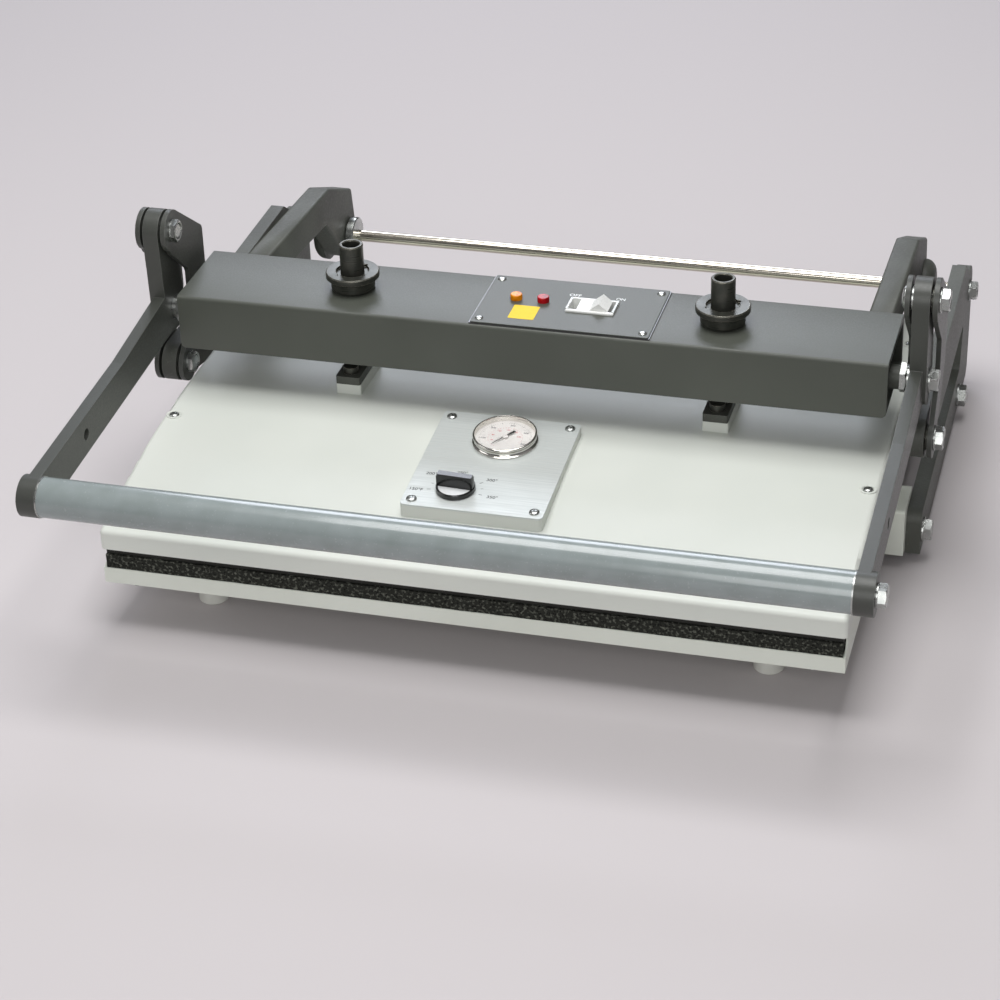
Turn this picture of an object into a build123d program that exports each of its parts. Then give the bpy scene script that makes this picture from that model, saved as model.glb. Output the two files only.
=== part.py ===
"""Dry mounting press: a heated platen hung from a beam, closed on a sponge pad by an over-centre handle.

Millimetres. X runs across the press, +Y towards the hinge at the rear, +Z up.
The origin is on the surface that the feet stand on, at mid-width and mid-depth.
A profile in the YZ plane is drawn on Plane.YZ, so its first coordinate is Y and its second is Z.
"""

from build123d import *
import os
from math import cos, radians, sin, sqrt, tan

os.makedirs("parts", exist_ok=True)

# ---------------------------------------------------------------- driving sizes
fit = 0.05  # radial clearance of a shaft or screw in its hole
seat_gap = 0.3  # clearance between parts that pass or press on each other
sheet = 1.5  # steel sheet of the tray and the cover

# Base
foot_height = 55.2
foot_radius = 12.3
foot_chamfer = 1.2
foot_inset_x = 67.5  # from the tray's side
foot_inset_y = 59.7  # from the tray's front and rear
foot_screw_radius = 3.0
foot_recess_radius = 6.0
foot_recess_depth = 12.0
foot_screw_head = 4.0
foot_screw_gap = 1.0  # round the head in its recess
tray_width = 598.0
tray_depth = 487.0  # from the cover's front edge
tray_setback = 0.3
tray_lip = 13.3
tray_return = 12.0
tray_rim = 13.1
tray_corner_sweep = 11.0
lip_screw_inset = 25.5
lip_screw_radius = 1.7
lip_screw_length = 6.0
lip_screw_head = 2.4
sponge_thickness = 12.4
sponge_setback = 0.8

# Platen and its cover
cover_overhang = 1.0  # past the tray's side
cover_depth = 452.0
cover_front_y = -242.9
platen_rim = 5.1
platen_rim_inset = 3.0
platen_body_height = 8.0
platen_body_inset = 6.0
cover_height = 44.0
cover_crown_radius = 900.0
cover_crown_start = 220.0  # from the front edge to where the crown turns flat
cover_edge_radius = 4.0
platen_corner_radius = 2.0
cover_screw_inset = 8.5
cover_screw_setbacks = (152.0, 400.0)
cover_screw_radius = 1.6
cover_screw_head_radius = 4.2
cover_screw_head = 2.2
cover_screw_crown = 1.2
cover_screw_length = 14.0
cover_dimple_radius = 6.0
cover_dimple_depth = 0.7
standoff_radius = 3.2
bearer_width = 26.0
bearer_length = 76.0
bearer_clearance = 2.0
insulation_thickness = 5.0
insulation_side_inset = 20.0
insulation_front_inset = 45.0
insulation_rear_inset = 15.0

heater_radius = 4.0
heater_leg_spacing = 100.0
heater_leg_half = 220.0
heater_first_setback = 90.0

# Beam across the press
beam_inset = 1.4  # tray's side to the beam's end
beam_depth = 92.1
beam_height = 48.1
beam_wall = 5.0
beam_corner = 7.0
beam_setback = 240.85  # cover front to the beam's middle
beam_standoff = 38.2  # cover top to beam bottom

# Pressure posts and their hangers
post_spacing = 314.0
post_radius = 10.0
post_bore = 7.0
post_rise = 40.4  # above the beam
collar_radius = 18.5
collar_height = 10.6
lock_ring_radius = 22.5
lock_ring_height = 5.6
lock_ring_recess_radius = 14.0
lock_ring_recess_depth = 2.2
lock_ring_notch_radius = 1.8
lock_ring_notch_angle = 35.0
hanger_width = 21.0
hanger_length = 59.0
hanger_corner = 1.5
saddle_width = 22.0
saddle_length = 57.0
saddle_height = 9.5
hanger_thickness = 7.0
hanger_screw_radius = 4.0
hanger_screw_spacing = 38.0
hanger_screw_tip = 8.0  # above the platen
hanger_screw_head_radius = 6.5
hanger_screw_head = 6.0

# Linkage, as (y, z) offsets from the crank pivot on the beam's end
crank_pivot_from_beam = (-14.45, 21.8)  # from the beam's mid-depth and bottom
strap_top_offset = (-6.4, 74.5)
strap_foot_offset = (4.6, -54.5)
hinge_offset = (316.4, -74.0)
grip_offset = (-289.1, -21.3)

# Linkage stack along X, from the beam's end outwards
pivot_boss_radius = 10.0
pivot_boss_length = 6.4
pivot_block_length = 34.0
pivot_block_recess = 10.0
jam_nut_flats = 22.0
jam_nut_height = 5.5
strap_thickness = 4.0
strap_gap = 2.3
spacer_radius = 14.0
crank_thickness = 13.5
washer_thickness = 1.5
nut_height = 6.5
stud_tip = 0.5  # a nut's outer face to the end of its stud
rod_tip = 0.8
bolt_head_height = 4.5
pivot_bolt_radius = 6.35
pivot_flats = 17.0
washer_radius = 10.5
open_pivot_play = 5.6  # extra radius of the crank's hidden hole round the straps' top bolt
strap_lobe = 17.5
strap_foot_lobe = 17.0
strap_shoulder_front = 12.4
strap_shoulder_rise = 55.5
strap_waist_front = 21.0
strap_waist_rise = 26.0
strap_waist_drop = 10.0
strap_back = 58.0
strap_back_rise = 50.0
strap_top_facing = 54.0  # degrees above the rear, where the rear edge leaves the top lobe
strap_bend = 8.0
crank_lobe = 17.5
crank_hub = 20.0
arm_root_front = 4.0  # from the crank pivot, forwards and back

# Handle
arm_bar_thickness = 10.0
arm_bar_inset = 0.2
arm_mid_reach = 117.0  # from the crank pivot forward, where the bar's edges bend
arm_root_top = 18.1
arm_mid_top = 5.4
arm_root_bottom = 21.5
arm_mid_bottom = 25.8
arm_hole_radius = 5.0
arm_hole_reach = 199.6
arm_hole_drop = 15.5
grip_boss_radius = 16.5
grip_boss_width = 15.0
grip_radius = 15.9
grip_wall = 2.6
grip_washer = 1.2
grip_plug_length = 25.0
grip_plug_floor = 4.0
grip_bolt_radius = 5.0
grip_bolt_flats = 16.0
grip_bolt_washer_radius = 9.0
grip_bolt_head = 6.4

# Yoke arms behind the beam
yoke_arm_thickness = 21.0
yoke_arm_inset = 13.0  # beam end to the arm's outer face
yoke_arm_top_drop = 19.4
yoke_arm_bottom_rise = 0.5
yoke_apex_offset = (-49.8, 69.5)  # from the hinge
yoke_shoulder_offset = (13.2, 42.5)
yoke_notch_offset = (-63.8, 38.1)
yoke_hinge_lobe = 21.0
yoke_notch_lean = 0.73  # direction from the hinge to where the leg's front edge touches the lobe
yoke_notch_drop = 0.68
yoke_corner = 3.5
yoke_edge_radius = 2.5
yoke_hub_length = 10.4
yoke_hub_radius = 25.0
yoke_hub_edge = 2.5

# Hinge rod
rod_radius = 5.4
rod_nut_flats = 16.0
rod_nut_height = 6.0
rod_washer_radius = 9.5
shaft_collar_radius = 17.5
shaft_collar_width = 8.0

# Side frames and cross channels
frame_thickness = 12.7
frame_gap = 14.3  # tray side to the frame's inner face
frame_foot_bottom = 10.0
frame_foot_height = 38.5
frame_foot_front = 11.5  # ahead of the channel's middle
frame_throat_height = 40.0
frame_throat_front_rise = 26.0
frame_rear_radius = 22.2
frame_lobe = 17.0
frame_shoulder_back = 39.8
frame_shoulder_rise = 43.0
frame_throat_rear_back = 36.0
frame_throat_slant = 12.0
frame_rise_from_lobe = 103.0
frame_corner = 10.0
frame_throat_corner = 5.0
frame_lobe_front = 4.0  # from the lobe's middle to where the throat begins
channel_depth = 45.0
channel_height = 42.0
channel_wall = 3.0
front_channel_setback = 246.5
rear_channel_setback = 489.5
channel_bolt_drops = (27.7, 30.5)  # front and rear
frame_bolt_radius = 6.3

# Control box, thermometer and thermostat
box_middle_x = -6.7
box_width = 116.2
box_front_setback = 54.0
box_depth = 134.0
box_front_height = 115.0
box_tilt = 4.9
box_wall = 2.0
box_corner = 4.0
window_inset = 18.0  # box size to the window in the cover under it
plate_thickness = 1.6
plate_screw_inset = 8.0
plate_screw_radius = 1.5
plate_screw_head_radius = 4.0
plate_screw_head = 1.6
plate_screw_length = 5.0
box_boss_radius = 4.5
gauge_x = -4.5
gauge_up_plate = 100.5
gauge_radius = 27.0
gauge_height = 8.0
gauge_rim = 2.2
gauge_floor = 2.0
gauge_dial = 0.8
gauge_glass = 1.2
gauge_glass_inset = 0.8
gauge_spindle_radius = 1.2
gauge_stem_radius = 4.0
gauge_stem_length = 20.0
needle_thickness = 0.6
needle_lift = 1.2
needle_angle = -125.0
needle_hub_radius = 2.6
needle_reach = 14.5
needle_tail = 9.7
needle_width = 1.6
knob_x = -25.8
knob_up_plate = 27.0
knob_radius = 16.0
knob_skirt = 4.0
knob_height = 13.0
knob_blade = 6.5
knob_blade_angle = -3.0
thermostat_radius = 17.0
thermostat_height = 12.0
spindle_radius = 3.0
spindle_length = 9.5

# Switch panel on the beam
panel_middle_x = 30.4
panel_width = 148.4
panel_depth = 86.9
panel_thickness = 2.0
panel_screw_inset_x = 6.0
panel_screw_inset_y = 7.0
panel_screw_radius = 1.5
panel_screw_head_radius = 3.2
panel_screw_head = 1.5
lamp_x = (-16.7, 6.2)
lamp_up_panel = 3.5  # behind the beam's middle
lamp_radius = 5.0
lamp_stem_radius = 4.0
lamp_stem_clearance = 2.0
lamp_height = 4.7
lamp_edge = 0.8
switch_x = 48.2
switch_y = 1.0  # behind the beam's middle
switch_length = 40.5
switch_width = 24.8
switch_rim = 1.8
switch_opening_length = 36.4
switch_opening_width = 19.6
switch_frame_seat = 1.0  # the frame sunk in the panel, round its opening
switch_hole_clearance = 1.5
switch_body_depth = 24.0
switch_cavity_depth = 11.0
rocker_length = 30.0
rocker_width = 19.0
rocker_peak_reach = 9.93
rocker_peak_height = 5.82
rocker_middle_height = 2.4
rocker_depth = 2.6
rocker_throw = 38.0
rocker_pin_radius = 1.2
rocker_pivot_rise = -0.6

# ---------------------------------------------------------------- derived levels and places
tray_top = foot_height + sheet
tray_lip_bottom = tray_top - tray_lip
tray_front_y = cover_front_y + tray_setback
tray_rear_y = cover_front_y + tray_depth
tray_middle_y = (cover_front_y + tray_rear_y) / 2
cover_width = tray_width + 2 * cover_overhang
cover_rear_y = cover_front_y + cover_depth
cover_middle_y = (cover_front_y + cover_rear_y) / 2
sponge_top = tray_top + sponge_thickness
platen_bottom = sponge_top + seat_gap
cover_bottom = platen_bottom + platen_rim
platen_top = cover_bottom + platen_body_height
cover_top = cover_bottom + cover_height
crown_y = cover_front_y + cover_crown_start

beam_length = tray_width - 2 * beam_inset
beam_y = cover_front_y + beam_setback
beam_bottom = cover_top + beam_standoff
beam_top = beam_bottom + beam_height
beam_rear_y = beam_y + beam_depth / 2
beam_end_x = beam_length / 2
saddle_top = cover_top + saddle_height
hanger_top = saddle_top + hanger_thickness

crank_pivot = (beam_y + crank_pivot_from_beam[0], beam_bottom + crank_pivot_from_beam[1])
strap_top = (crank_pivot[0] + strap_top_offset[0], crank_pivot[1] + strap_top_offset[1])
strap_foot = (crank_pivot[0] + strap_foot_offset[0], crank_pivot[1] + strap_foot_offset[1])
hinge = (crank_pivot[0] + hinge_offset[0], crank_pivot[1] + hinge_offset[1])
grip = (crank_pivot[0] + grip_offset[0], crank_pivot[1] + grip_offset[1])

frame_inner_x = tray_width / 2 + frame_gap
frame_outer_x = frame_inner_x + frame_thickness
crank_inner_x = frame_inner_x - (crank_thickness - frame_thickness) / 2
crank_outer_x = crank_inner_x + crank_thickness
inner_strap_x = crank_inner_x - strap_gap - strap_thickness
outer_strap_x = crank_outer_x + strap_gap
strap_outer_face_x = outer_strap_x + strap_thickness
bolt_end_x = strap_outer_face_x + washer_thickness + nut_height

front_channel_y = cover_front_y + front_channel_setback
rear_channel_y = cover_front_y + rear_channel_setback
front_bolt_point, rear_bolt_point = frame_bolt_points = [
    (channel_y, foot_height - drop)
    for channel_y, drop in zip((front_channel_y, rear_channel_y), channel_bolt_drops)
]

yoke_arm_outer_x = beam_end_x - yoke_arm_inset
yoke_arm_inner_x = yoke_arm_outer_x - yoke_arm_thickness

box_slope = tan(radians(box_tilt))
plate_front_y = cover_front_y + box_front_setback
plate_plane = Plane(
    origin=(box_middle_x, plate_front_y, box_front_height),
    x_dir=(1, 0, 0),
    z_dir=(0, -sin(radians(box_tilt)), cos(radians(box_tilt))),
)
plate_length = box_depth / cos(radians(box_tilt))
gauge_spot = (gauge_x - box_middle_x, gauge_up_plate)
knob_spot = (knob_x - box_middle_x, knob_up_plate)

def cover_level(y, drop=0.0):
    """Height of the cover's top surface at y, lowered by drop along the crown's radius."""
    if y >= crown_y:
        return cover_top - drop
    radius = cover_crown_radius - drop
    return cover_top - cover_crown_radius + sqrt(radius**2 - (crown_y - y) ** 2)

def keep(piece, node):
    """Label a finished piece and write its STEP file."""
    piece.part.label = node
    export_step(piece.part, f"parts/{node}.step")

def studs_on_x(points, radius, start_x, end_x):
    """Round bars along X from start_x to end_x, one at each (y, z) point."""
    with BuildPart() as studs:
        with BuildSketch(Plane.YZ.offset(start_x)):
            with Locations(*points):
                Circle(radius)
        extrude(amount=end_x - start_x)
    return studs.part

def hexes_on_x(points, flats, start_x, end_x, bore=0.0):
    """Hexagons along X, measured across their flats, with an optional bore."""
    with BuildPart() as hexes:
        with BuildSketch(Plane.YZ.offset(start_x)):
            with Locations(*points):
                RegularPolygon(flats / 2, 6, major_radius=False)
                if bore:
                    Circle(bore, mode=Mode.SUBTRACT)
        extrude(amount=end_x - start_x)
    return hexes.part

def rings_on_x(points, radius, bore, start_x, end_x):
    """Washers or collars along X, one at each (y, z) point."""
    with BuildPart() as rings:
        with BuildSketch(Plane.YZ.offset(start_x)):
            with Locations(*points):
                Circle(radius)
                Circle(bore, mode=Mode.SUBTRACT)
        extrude(amount=end_x - start_x)
    return rings.part

def mirrored(piece):
    """The same piece on the other side of the press."""
    with BuildPart() as other:
        mirror(piece.part, about=Plane.YZ)
    return other

# ---------------------------------------------------------------- base tray
foot_grid = (tray_width - 2 * foot_inset_x, tray_depth - 2 * foot_inset_y)
foot_screw_head_radius = foot_recess_radius - foot_screw_gap

with BuildPart() as base_tray:
    # Sheet with a lip turned down at the front and rear and returned inwards
    with BuildSketch(Plane.YZ.offset(-tray_width / 2)) as tray_section:
        with Locations((tray_front_y, tray_lip_bottom)):
            Rectangle(tray_rear_y - tray_front_y, tray_lip, align=(Align.MIN, Align.MIN))
        with Locations((tray_front_y + sheet, tray_lip_bottom + sheet)):
            Rectangle(
                tray_rear_y - tray_front_y - 2 * sheet,
                tray_lip - 2 * sheet,
                align=(Align.MIN, Align.MIN),
                mode=Mode.SUBTRACT,
            )
        with Locations((tray_front_y + sheet + tray_return, tray_lip_bottom)):
            Rectangle(
                tray_rear_y - tray_front_y - 2 * (sheet + tray_return),
                sheet,
                align=(Align.MIN, Align.MIN),
                mode=Mode.SUBTRACT,
            )
    extrude(amount=tray_width)
    # Side walls, swept up behind the front corner to hold the pad's edge
    for side_x in (-tray_width / 2, tray_width / 2 - sheet):
        with BuildSketch(Plane.YZ.offset(side_x)):
            with BuildLine():
                rim_top = tray_top + tray_rim
                sweep_end = tray_front_y + tray_corner_sweep
                Line((tray_front_y, tray_lip_bottom), (tray_front_y, tray_top))
                ThreePointArc(
                    (tray_front_y, tray_top),
                    (tray_front_y + 0.7 * tray_corner_sweep, tray_top + 0.3 * tray_rim),
                    (sweep_end, rim_top),
                )
                Line((sweep_end, rim_top), (tray_rear_y, rim_top))
                Line((tray_rear_y, rim_top), (tray_rear_y, tray_lip_bottom))
                Line((tray_rear_y, tray_lip_bottom), (tray_front_y, tray_lip_bottom))
            make_face()
        extrude(amount=sheet)
    # Notches where the channels pass under the sheet
    for channel_y in (front_channel_y, rear_channel_y):
        with BuildSketch(Plane.XY.offset(tray_lip_bottom)):
            with Locations((0, channel_y)):
                Rectangle(tray_width, channel_depth + 2 * seat_gap)
        extrude(amount=foot_height - tray_lip_bottom, mode=Mode.SUBTRACT)
    # Holes for the foot screws and the lip screws
    with BuildSketch(Plane.XY.offset(foot_height)):
        with Locations((0, tray_middle_y)):
            with GridLocations(*foot_grid, 2, 2):
                Circle(foot_screw_radius + fit)
    extrude(amount=sheet, mode=Mode.SUBTRACT)
    with BuildSketch(Plane.XY.offset(tray_lip_bottom)):
        with Locations((0, tray_front_y + tray_return / 2)):
            with GridLocations(tray_width - 2 * lip_screw_inset, 0, 2, 1):
                Circle(lip_screw_radius + fit)
    extrude(amount=sheet, mode=Mode.SUBTRACT)

with BuildPart() as feet:
    with BuildSketch(Plane.XY):
        with Locations((0, tray_middle_y)):
            with GridLocations(*foot_grid, 2, 2):
                Circle(foot_radius)
    extrude(amount=foot_height)
    chamfer(feet.faces().sort_by(Axis.Z)[:4].edges(), foot_chamfer)
    with Locations((0, tray_middle_y, 0)):
        with GridLocations(*foot_grid, 2, 2):
            Cylinder(
                foot_screw_radius + fit,
                foot_height,
                align=(Align.CENTER, Align.CENTER, Align.MIN),
                mode=Mode.SUBTRACT,
            )
            Cylinder(
                foot_recess_radius,
                foot_recess_depth,
                align=(Align.CENTER, Align.CENTER, Align.MIN),
                mode=Mode.SUBTRACT,
            )

with BuildPart() as base_screws:
    with Locations((0, tray_middle_y, foot_recess_depth)):
        with GridLocations(*foot_grid, 2, 2):
            Cylinder(
                foot_screw_radius,
                tray_top - foot_recess_depth,
                align=(Align.CENTER, Align.CENTER, Align.MIN),
            )
            Cylinder(
                foot_screw_head_radius,
                foot_screw_head,
                align=(Align.CENTER, Align.CENTER, Align.MAX),
            )
    with Locations((0, tray_front_y + tray_return / 2, tray_lip_bottom)):
        with GridLocations(tray_width - 2 * lip_screw_inset, 0, 2, 1):
            Cylinder(lip_screw_radius, lip_screw_length, align=(Align.CENTER, Align.CENTER, Align.MIN))
            Cylinder(2 * lip_screw_radius, lip_screw_head, align=(Align.CENTER, Align.CENTER, Align.MAX))

with BuildPart() as sponge_pad:
    with BuildSketch(Plane.XY.offset(tray_top)):
        with Locations((0, cover_middle_y)):
            Rectangle(tray_width - 2 * sheet - 2 * seat_gap, cover_depth - 2 * sponge_setback)
    extrude(amount=sponge_thickness)

def cross_channel(bolt_point):
    """Channel open downwards, closed at both ends by plates that the side frames bolt to."""
    channel_y = bolt_point[0]
    with BuildPart() as channel:
        with BuildSketch(Plane.YZ.offset(-frame_inner_x)):
            with Locations((channel_y, foot_height)):
                Rectangle(channel_depth, channel_height, align=(Align.CENTER, Align.MAX))
        extrude(amount=2 * frame_inner_x)
        with BuildSketch(Plane.YZ.offset(-frame_inner_x + channel_wall)):
            with Locations((channel_y, foot_height - channel_wall)):
                Rectangle(channel_depth - 2 * channel_wall, channel_height, align=(Align.CENTER, Align.MAX))
        extrude(amount=2 * (frame_inner_x - channel_wall), mode=Mode.SUBTRACT)
        fillet(channel.edges().filter_by(Axis.X).group_by(Axis.Z)[-1], channel_wall)
        add(
            studs_on_x([bolt_point], frame_bolt_radius + fit, -frame_inner_x, frame_inner_x),
            mode=Mode.SUBTRACT,
        )
    return channel

front_cross_channel = cross_channel(front_bolt_point)
rear_cross_channel = cross_channel(rear_bolt_point)

# ---------------------------------------------------------------- side frames
frame_foot_top = frame_foot_bottom + frame_foot_height
frame_front_y = front_channel_y - frame_foot_front
frame_rear_y = hinge[0] + frame_rear_radius
throat_top = frame_foot_top + frame_throat_height
throat_rear_y = hinge[0] - frame_throat_rear_back
frame_top = strap_foot[1] + frame_lobe

with BuildPart() as side_frame_right:
    with BuildSketch(Plane.YZ.offset(frame_inner_x)) as frame_sketch:
        with BuildLine():
            Polyline(
                (frame_front_y, frame_foot_bottom),
                (frame_rear_y, frame_foot_bottom),
                (frame_rear_y, hinge[1]),
                (hinge[0] - frame_shoulder_back, hinge[1] + frame_shoulder_rise),
                (strap_foot[0], frame_top),
                (strap_foot[0] - frame_lobe_front, strap_foot[1] - frame_lobe),
                (strap_foot[0] + frame_rise_from_lobe, throat_top),
                (throat_rear_y, throat_top),
                (throat_rear_y - frame_throat_slant, frame_foot_top),
                (frame_front_y, frame_foot_top),
                close=True,
            )
        make_face()
        for spot, radius in (
            ((frame_front_y, frame_foot_top), frame_corner),
            ((frame_rear_y, frame_foot_bottom), frame_corner),
            ((throat_rear_y, throat_top), frame_throat_corner),
            ((throat_rear_y - frame_throat_slant, frame_foot_top), frame_throat_corner),
        ):
            fillet(frame_sketch.vertices().sort_by_distance(spot)[0], radius)
        with Locations(strap_foot):
            Circle(frame_lobe)
        with Locations(hinge):
            Circle(frame_rear_radius)
        with Locations(strap_foot):
            Circle(pivot_bolt_radius + fit, mode=Mode.SUBTRACT)
        with Locations(hinge):
            Circle(rod_radius + fit, mode=Mode.SUBTRACT)
        with Locations(*frame_bolt_points):
            Circle(frame_bolt_radius + fit, mode=Mode.SUBTRACT)
    extrude(amount=frame_thickness)
side_frame_left = mirrored(side_frame_right)

frame_bolt_tip_x = frame_inner_x - channel_wall - nut_height
frame_bolt_seat_x = frame_outer_x + washer_thickness
rod_end_x = frame_bolt_seat_x + rod_nut_height

with BuildPart() as frame_washers:
    add(
        rings_on_x(
            frame_bolt_points,
            washer_radius,
            frame_bolt_radius + fit,
            frame_outer_x,
            frame_bolt_seat_x,
        )
    )
    add(rings_on_x([hinge], rod_washer_radius, rod_radius + fit, frame_outer_x, frame_bolt_seat_x))
    mirror(about=Plane.YZ)

with BuildPart() as frame_bolts:
    add(studs_on_x(frame_bolt_points, frame_bolt_radius, frame_bolt_tip_x, frame_bolt_seat_x))
    add(hexes_on_x(frame_bolt_points, pivot_flats, frame_bolt_seat_x, frame_bolt_seat_x + nut_height))
    mirror(about=Plane.YZ)

with BuildPart() as frame_nuts:
    add(
        hexes_on_x(
            frame_bolt_points,
            pivot_flats,
            frame_bolt_tip_x,
            frame_bolt_tip_x + nut_height,
            frame_bolt_radius + fit,
        )
    )
    add(hexes_on_x([hinge], rod_nut_flats, frame_bolt_seat_x, rod_end_x, rod_radius + fit))
    mirror(about=Plane.YZ)

# ---------------------------------------------------------------- hinge rod
with BuildPart() as hinge_rod:
    add(studs_on_x([hinge], rod_radius, -rod_end_x + rod_tip, rod_end_x - rod_tip))

with BuildPart() as shaft_collars:
    collar_outer_x = yoke_arm_inner_x - seat_gap
    add(
        rings_on_x(
            [hinge],
            shaft_collar_radius,
            rod_radius + fit,
            collar_outer_x - shaft_collar_width,
            collar_outer_x,
        )
    )
    chamfer(shaft_collars.edges().filter_by(GeomType.CIRCLE).sort_by(SortBy.RADIUS)[-2:], 1.0)
    mirror(about=Plane.YZ)

# ---------------------------------------------------------------- platen
with BuildPart() as platen:
    with BuildSketch(Plane.XY.offset(platen_bottom)):
        with Locations((0, cover_middle_y)):
            RectangleRounded(
                cover_width - 2 * platen_rim_inset, cover_depth - 2 * platen_rim_inset, platen_corner_radius
            )
    extrude(amount=platen_rim)
    with BuildSketch(Plane.XY.offset(cover_bottom)):
        with Locations((0, cover_middle_y)):
            RectangleRounded(
                cover_width - 2 * platen_body_inset,
                cover_depth - 2 * platen_body_inset,
                platen_corner_radius,
            )
    extrude(amount=platen_body_height)

cover_screw_points = [
    (side * (cover_width / 2 - cover_screw_inset), cover_front_y + setback)
    for side in (-1, 1)
    for setback in cover_screw_setbacks
]

with BuildPart() as platen_cover:
    with BuildSketch(Plane.YZ.offset(-cover_width / 2)):
        with BuildLine():
            front_top = (cover_front_y, cover_level(cover_front_y))
            Line((cover_front_y, cover_bottom), front_top)
            RadiusArc(front_top, (crown_y, cover_top), cover_crown_radius)
            Line((crown_y, cover_top), (cover_rear_y, cover_top))
            Line((cover_rear_y, cover_top), (cover_rear_y, cover_bottom))
            Line((cover_rear_y, cover_bottom), (cover_front_y, cover_bottom))
        make_face()
    extrude(amount=cover_width)
    upper_edges = platen_cover.edges().filter_by(lambda e: e.center().Z > cover_bottom + cover_edge_radius)
    fillet(upper_edges.filter_by(lambda e: abs(e.center().Y - crown_y) > 1.0), cover_edge_radius)
    offset(amount=-sheet, openings=platen_cover.faces().sort_by(Axis.Z)[0])
    # Dimples and holes for the screws along the sides
    for screw_x, screw_y in cover_screw_points:
        dimple_z = cover_level(screw_y) - cover_dimple_depth
        with BuildSketch(Plane.XY.offset(dimple_z)):
            with Locations((screw_x, screw_y)):
                Circle(cover_dimple_radius)
        extrude(amount=cover_height, mode=Mode.SUBTRACT)
        with BuildSketch(Plane.XY.offset(platen_top)):
            with Locations((screw_x, screw_y)):
                Circle(cover_screw_radius + fit)
        extrude(amount=cover_height, mode=Mode.SUBTRACT)
    # Window under the control box, and holes for the hanger screws
    window_size = (box_width - window_inset, box_depth - window_inset)
    with BuildSketch(Plane.XY.offset(platen_top)):
        with Locations((box_middle_x, plate_front_y + box_depth / 2)):
            RectangleRounded(*window_size, box_corner)
        with Locations((0, beam_y)):
            with GridLocations(post_spacing, hanger_screw_spacing, 2, 2):
                Circle(hanger_screw_radius + fit)
    extrude(amount=cover_height, mode=Mode.SUBTRACT)

with BuildPart() as platen_supports:
    for screw_x, screw_y in cover_screw_points:
        reach = cover_level(screw_y - standoff_radius) - sheet - 2 * seat_gap - platen_top
        with Locations((screw_x, screw_y, platen_top)):
            Cylinder(standoff_radius, reach, align=(Align.CENTER, Align.CENTER, Align.MIN))
            Cylinder(
                cover_screw_radius + fit,
                reach,
                align=(Align.CENTER, Align.CENTER, Align.MIN),
                mode=Mode.SUBTRACT,
            )
    with BuildSketch(Plane.XY.offset(platen_top)):
        with Locations((0, beam_y)):
            with GridLocations(post_spacing, 0, 2, 1):
                Rectangle(bearer_width, bearer_length)
            with GridLocations(post_spacing, hanger_screw_spacing, 2, 2):
                Circle(hanger_screw_radius + fit, mode=Mode.SUBTRACT)
    extrude(amount=cover_level(beam_y - bearer_length / 2, sheet) - platen_top - fit)

with BuildPart() as cover_screws:
    for screw_x, screw_y in cover_screw_points:
        dimple_z = cover_level(screw_y) - cover_dimple_depth
        with Locations((screw_x, screw_y, dimple_z)):
            Cylinder(cover_screw_head_radius, cover_screw_head, align=(Align.CENTER, Align.CENTER, Align.MIN))
            Cylinder(cover_screw_radius, cover_screw_length, align=(Align.CENTER, Align.CENTER, Align.MAX))
    fillet(
        cover_screws.edges().filter_by(GeomType.CIRCLE).filter_by(
            lambda e: e.radius > cover_screw_radius + fit and e.center().Z > cover_level(e.center().Y)
        ),
        cover_screw_crown,
    )

heater_z = platen_top + heater_radius
heater_legs = [cover_front_y + heater_first_setback + heater_leg_spacing * leg for leg in range(4)]
with BuildPart() as heater_element:
    with BuildLine() as heater_path:
        for leg, leg_y in enumerate(heater_legs):
            turn = 1 if leg % 2 == 0 else -1
            Line((-turn * heater_leg_half, leg_y, heater_z), (turn * heater_leg_half, leg_y, heater_z))
            if leg < len(heater_legs) - 1:
                ThreePointArc(
                    (turn * heater_leg_half, leg_y, heater_z),
                    (turn * (heater_leg_half + heater_leg_spacing / 2), leg_y + heater_leg_spacing / 2, heater_z),
                    (turn * heater_leg_half, leg_y + heater_leg_spacing, heater_z),
                )
    with BuildSketch(Plane(origin=heater_path.line @ 0, z_dir=heater_path.line % 0)):
        Circle(heater_radius)
    sweep()

with BuildPart() as insulation_sheet:
    with BuildSketch(Plane.XY.offset(heater_z + heater_radius + seat_gap)):
        with Locations((0, cover_middle_y + (insulation_front_inset - insulation_rear_inset) / 2)):
            Rectangle(
                cover_width - 2 * insulation_side_inset,
                cover_depth - insulation_front_inset - insulation_rear_inset,
            )
        with Locations((0, beam_y)):
            with GridLocations(post_spacing, 0, 2, 1):
                Rectangle(
                    bearer_width + 2 * bearer_clearance,
                    bearer_length + 2 * bearer_clearance,
                    mode=Mode.SUBTRACT,
                )
        with Locations((gauge_x, plate_front_y + gauge_up_plate)):
            Circle(gauge_stem_radius + bearer_clearance, mode=Mode.SUBTRACT)
    extrude(amount=insulation_thickness)

# ---------------------------------------------------------------- hangers and pressure posts
with BuildPart() as saddle_blocks:
    with BuildSketch(Plane.XY.offset(cover_top)):
        with Locations((0, beam_y)):
            with GridLocations(post_spacing, 0, 2, 1):
                RectangleRounded(saddle_width, saddle_length, hanger_corner)
            with GridLocations(post_spacing, hanger_screw_spacing, 2, 2):
                Circle(hanger_screw_radius + fit, mode=Mode.SUBTRACT)
    extrude(amount=saddle_height)

with BuildPart() as hanger_plates:
    with BuildSketch(Plane.XY.offset(saddle_top)):
        with Locations((0, beam_y)):
            with GridLocations(post_spacing, 0, 2, 1):
                RectangleRounded(hanger_width, hanger_length, hanger_corner)
            with GridLocations(post_spacing, hanger_screw_spacing, 2, 2):
                Circle(hanger_screw_radius + fit, mode=Mode.SUBTRACT)
    extrude(amount=hanger_thickness)

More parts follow.
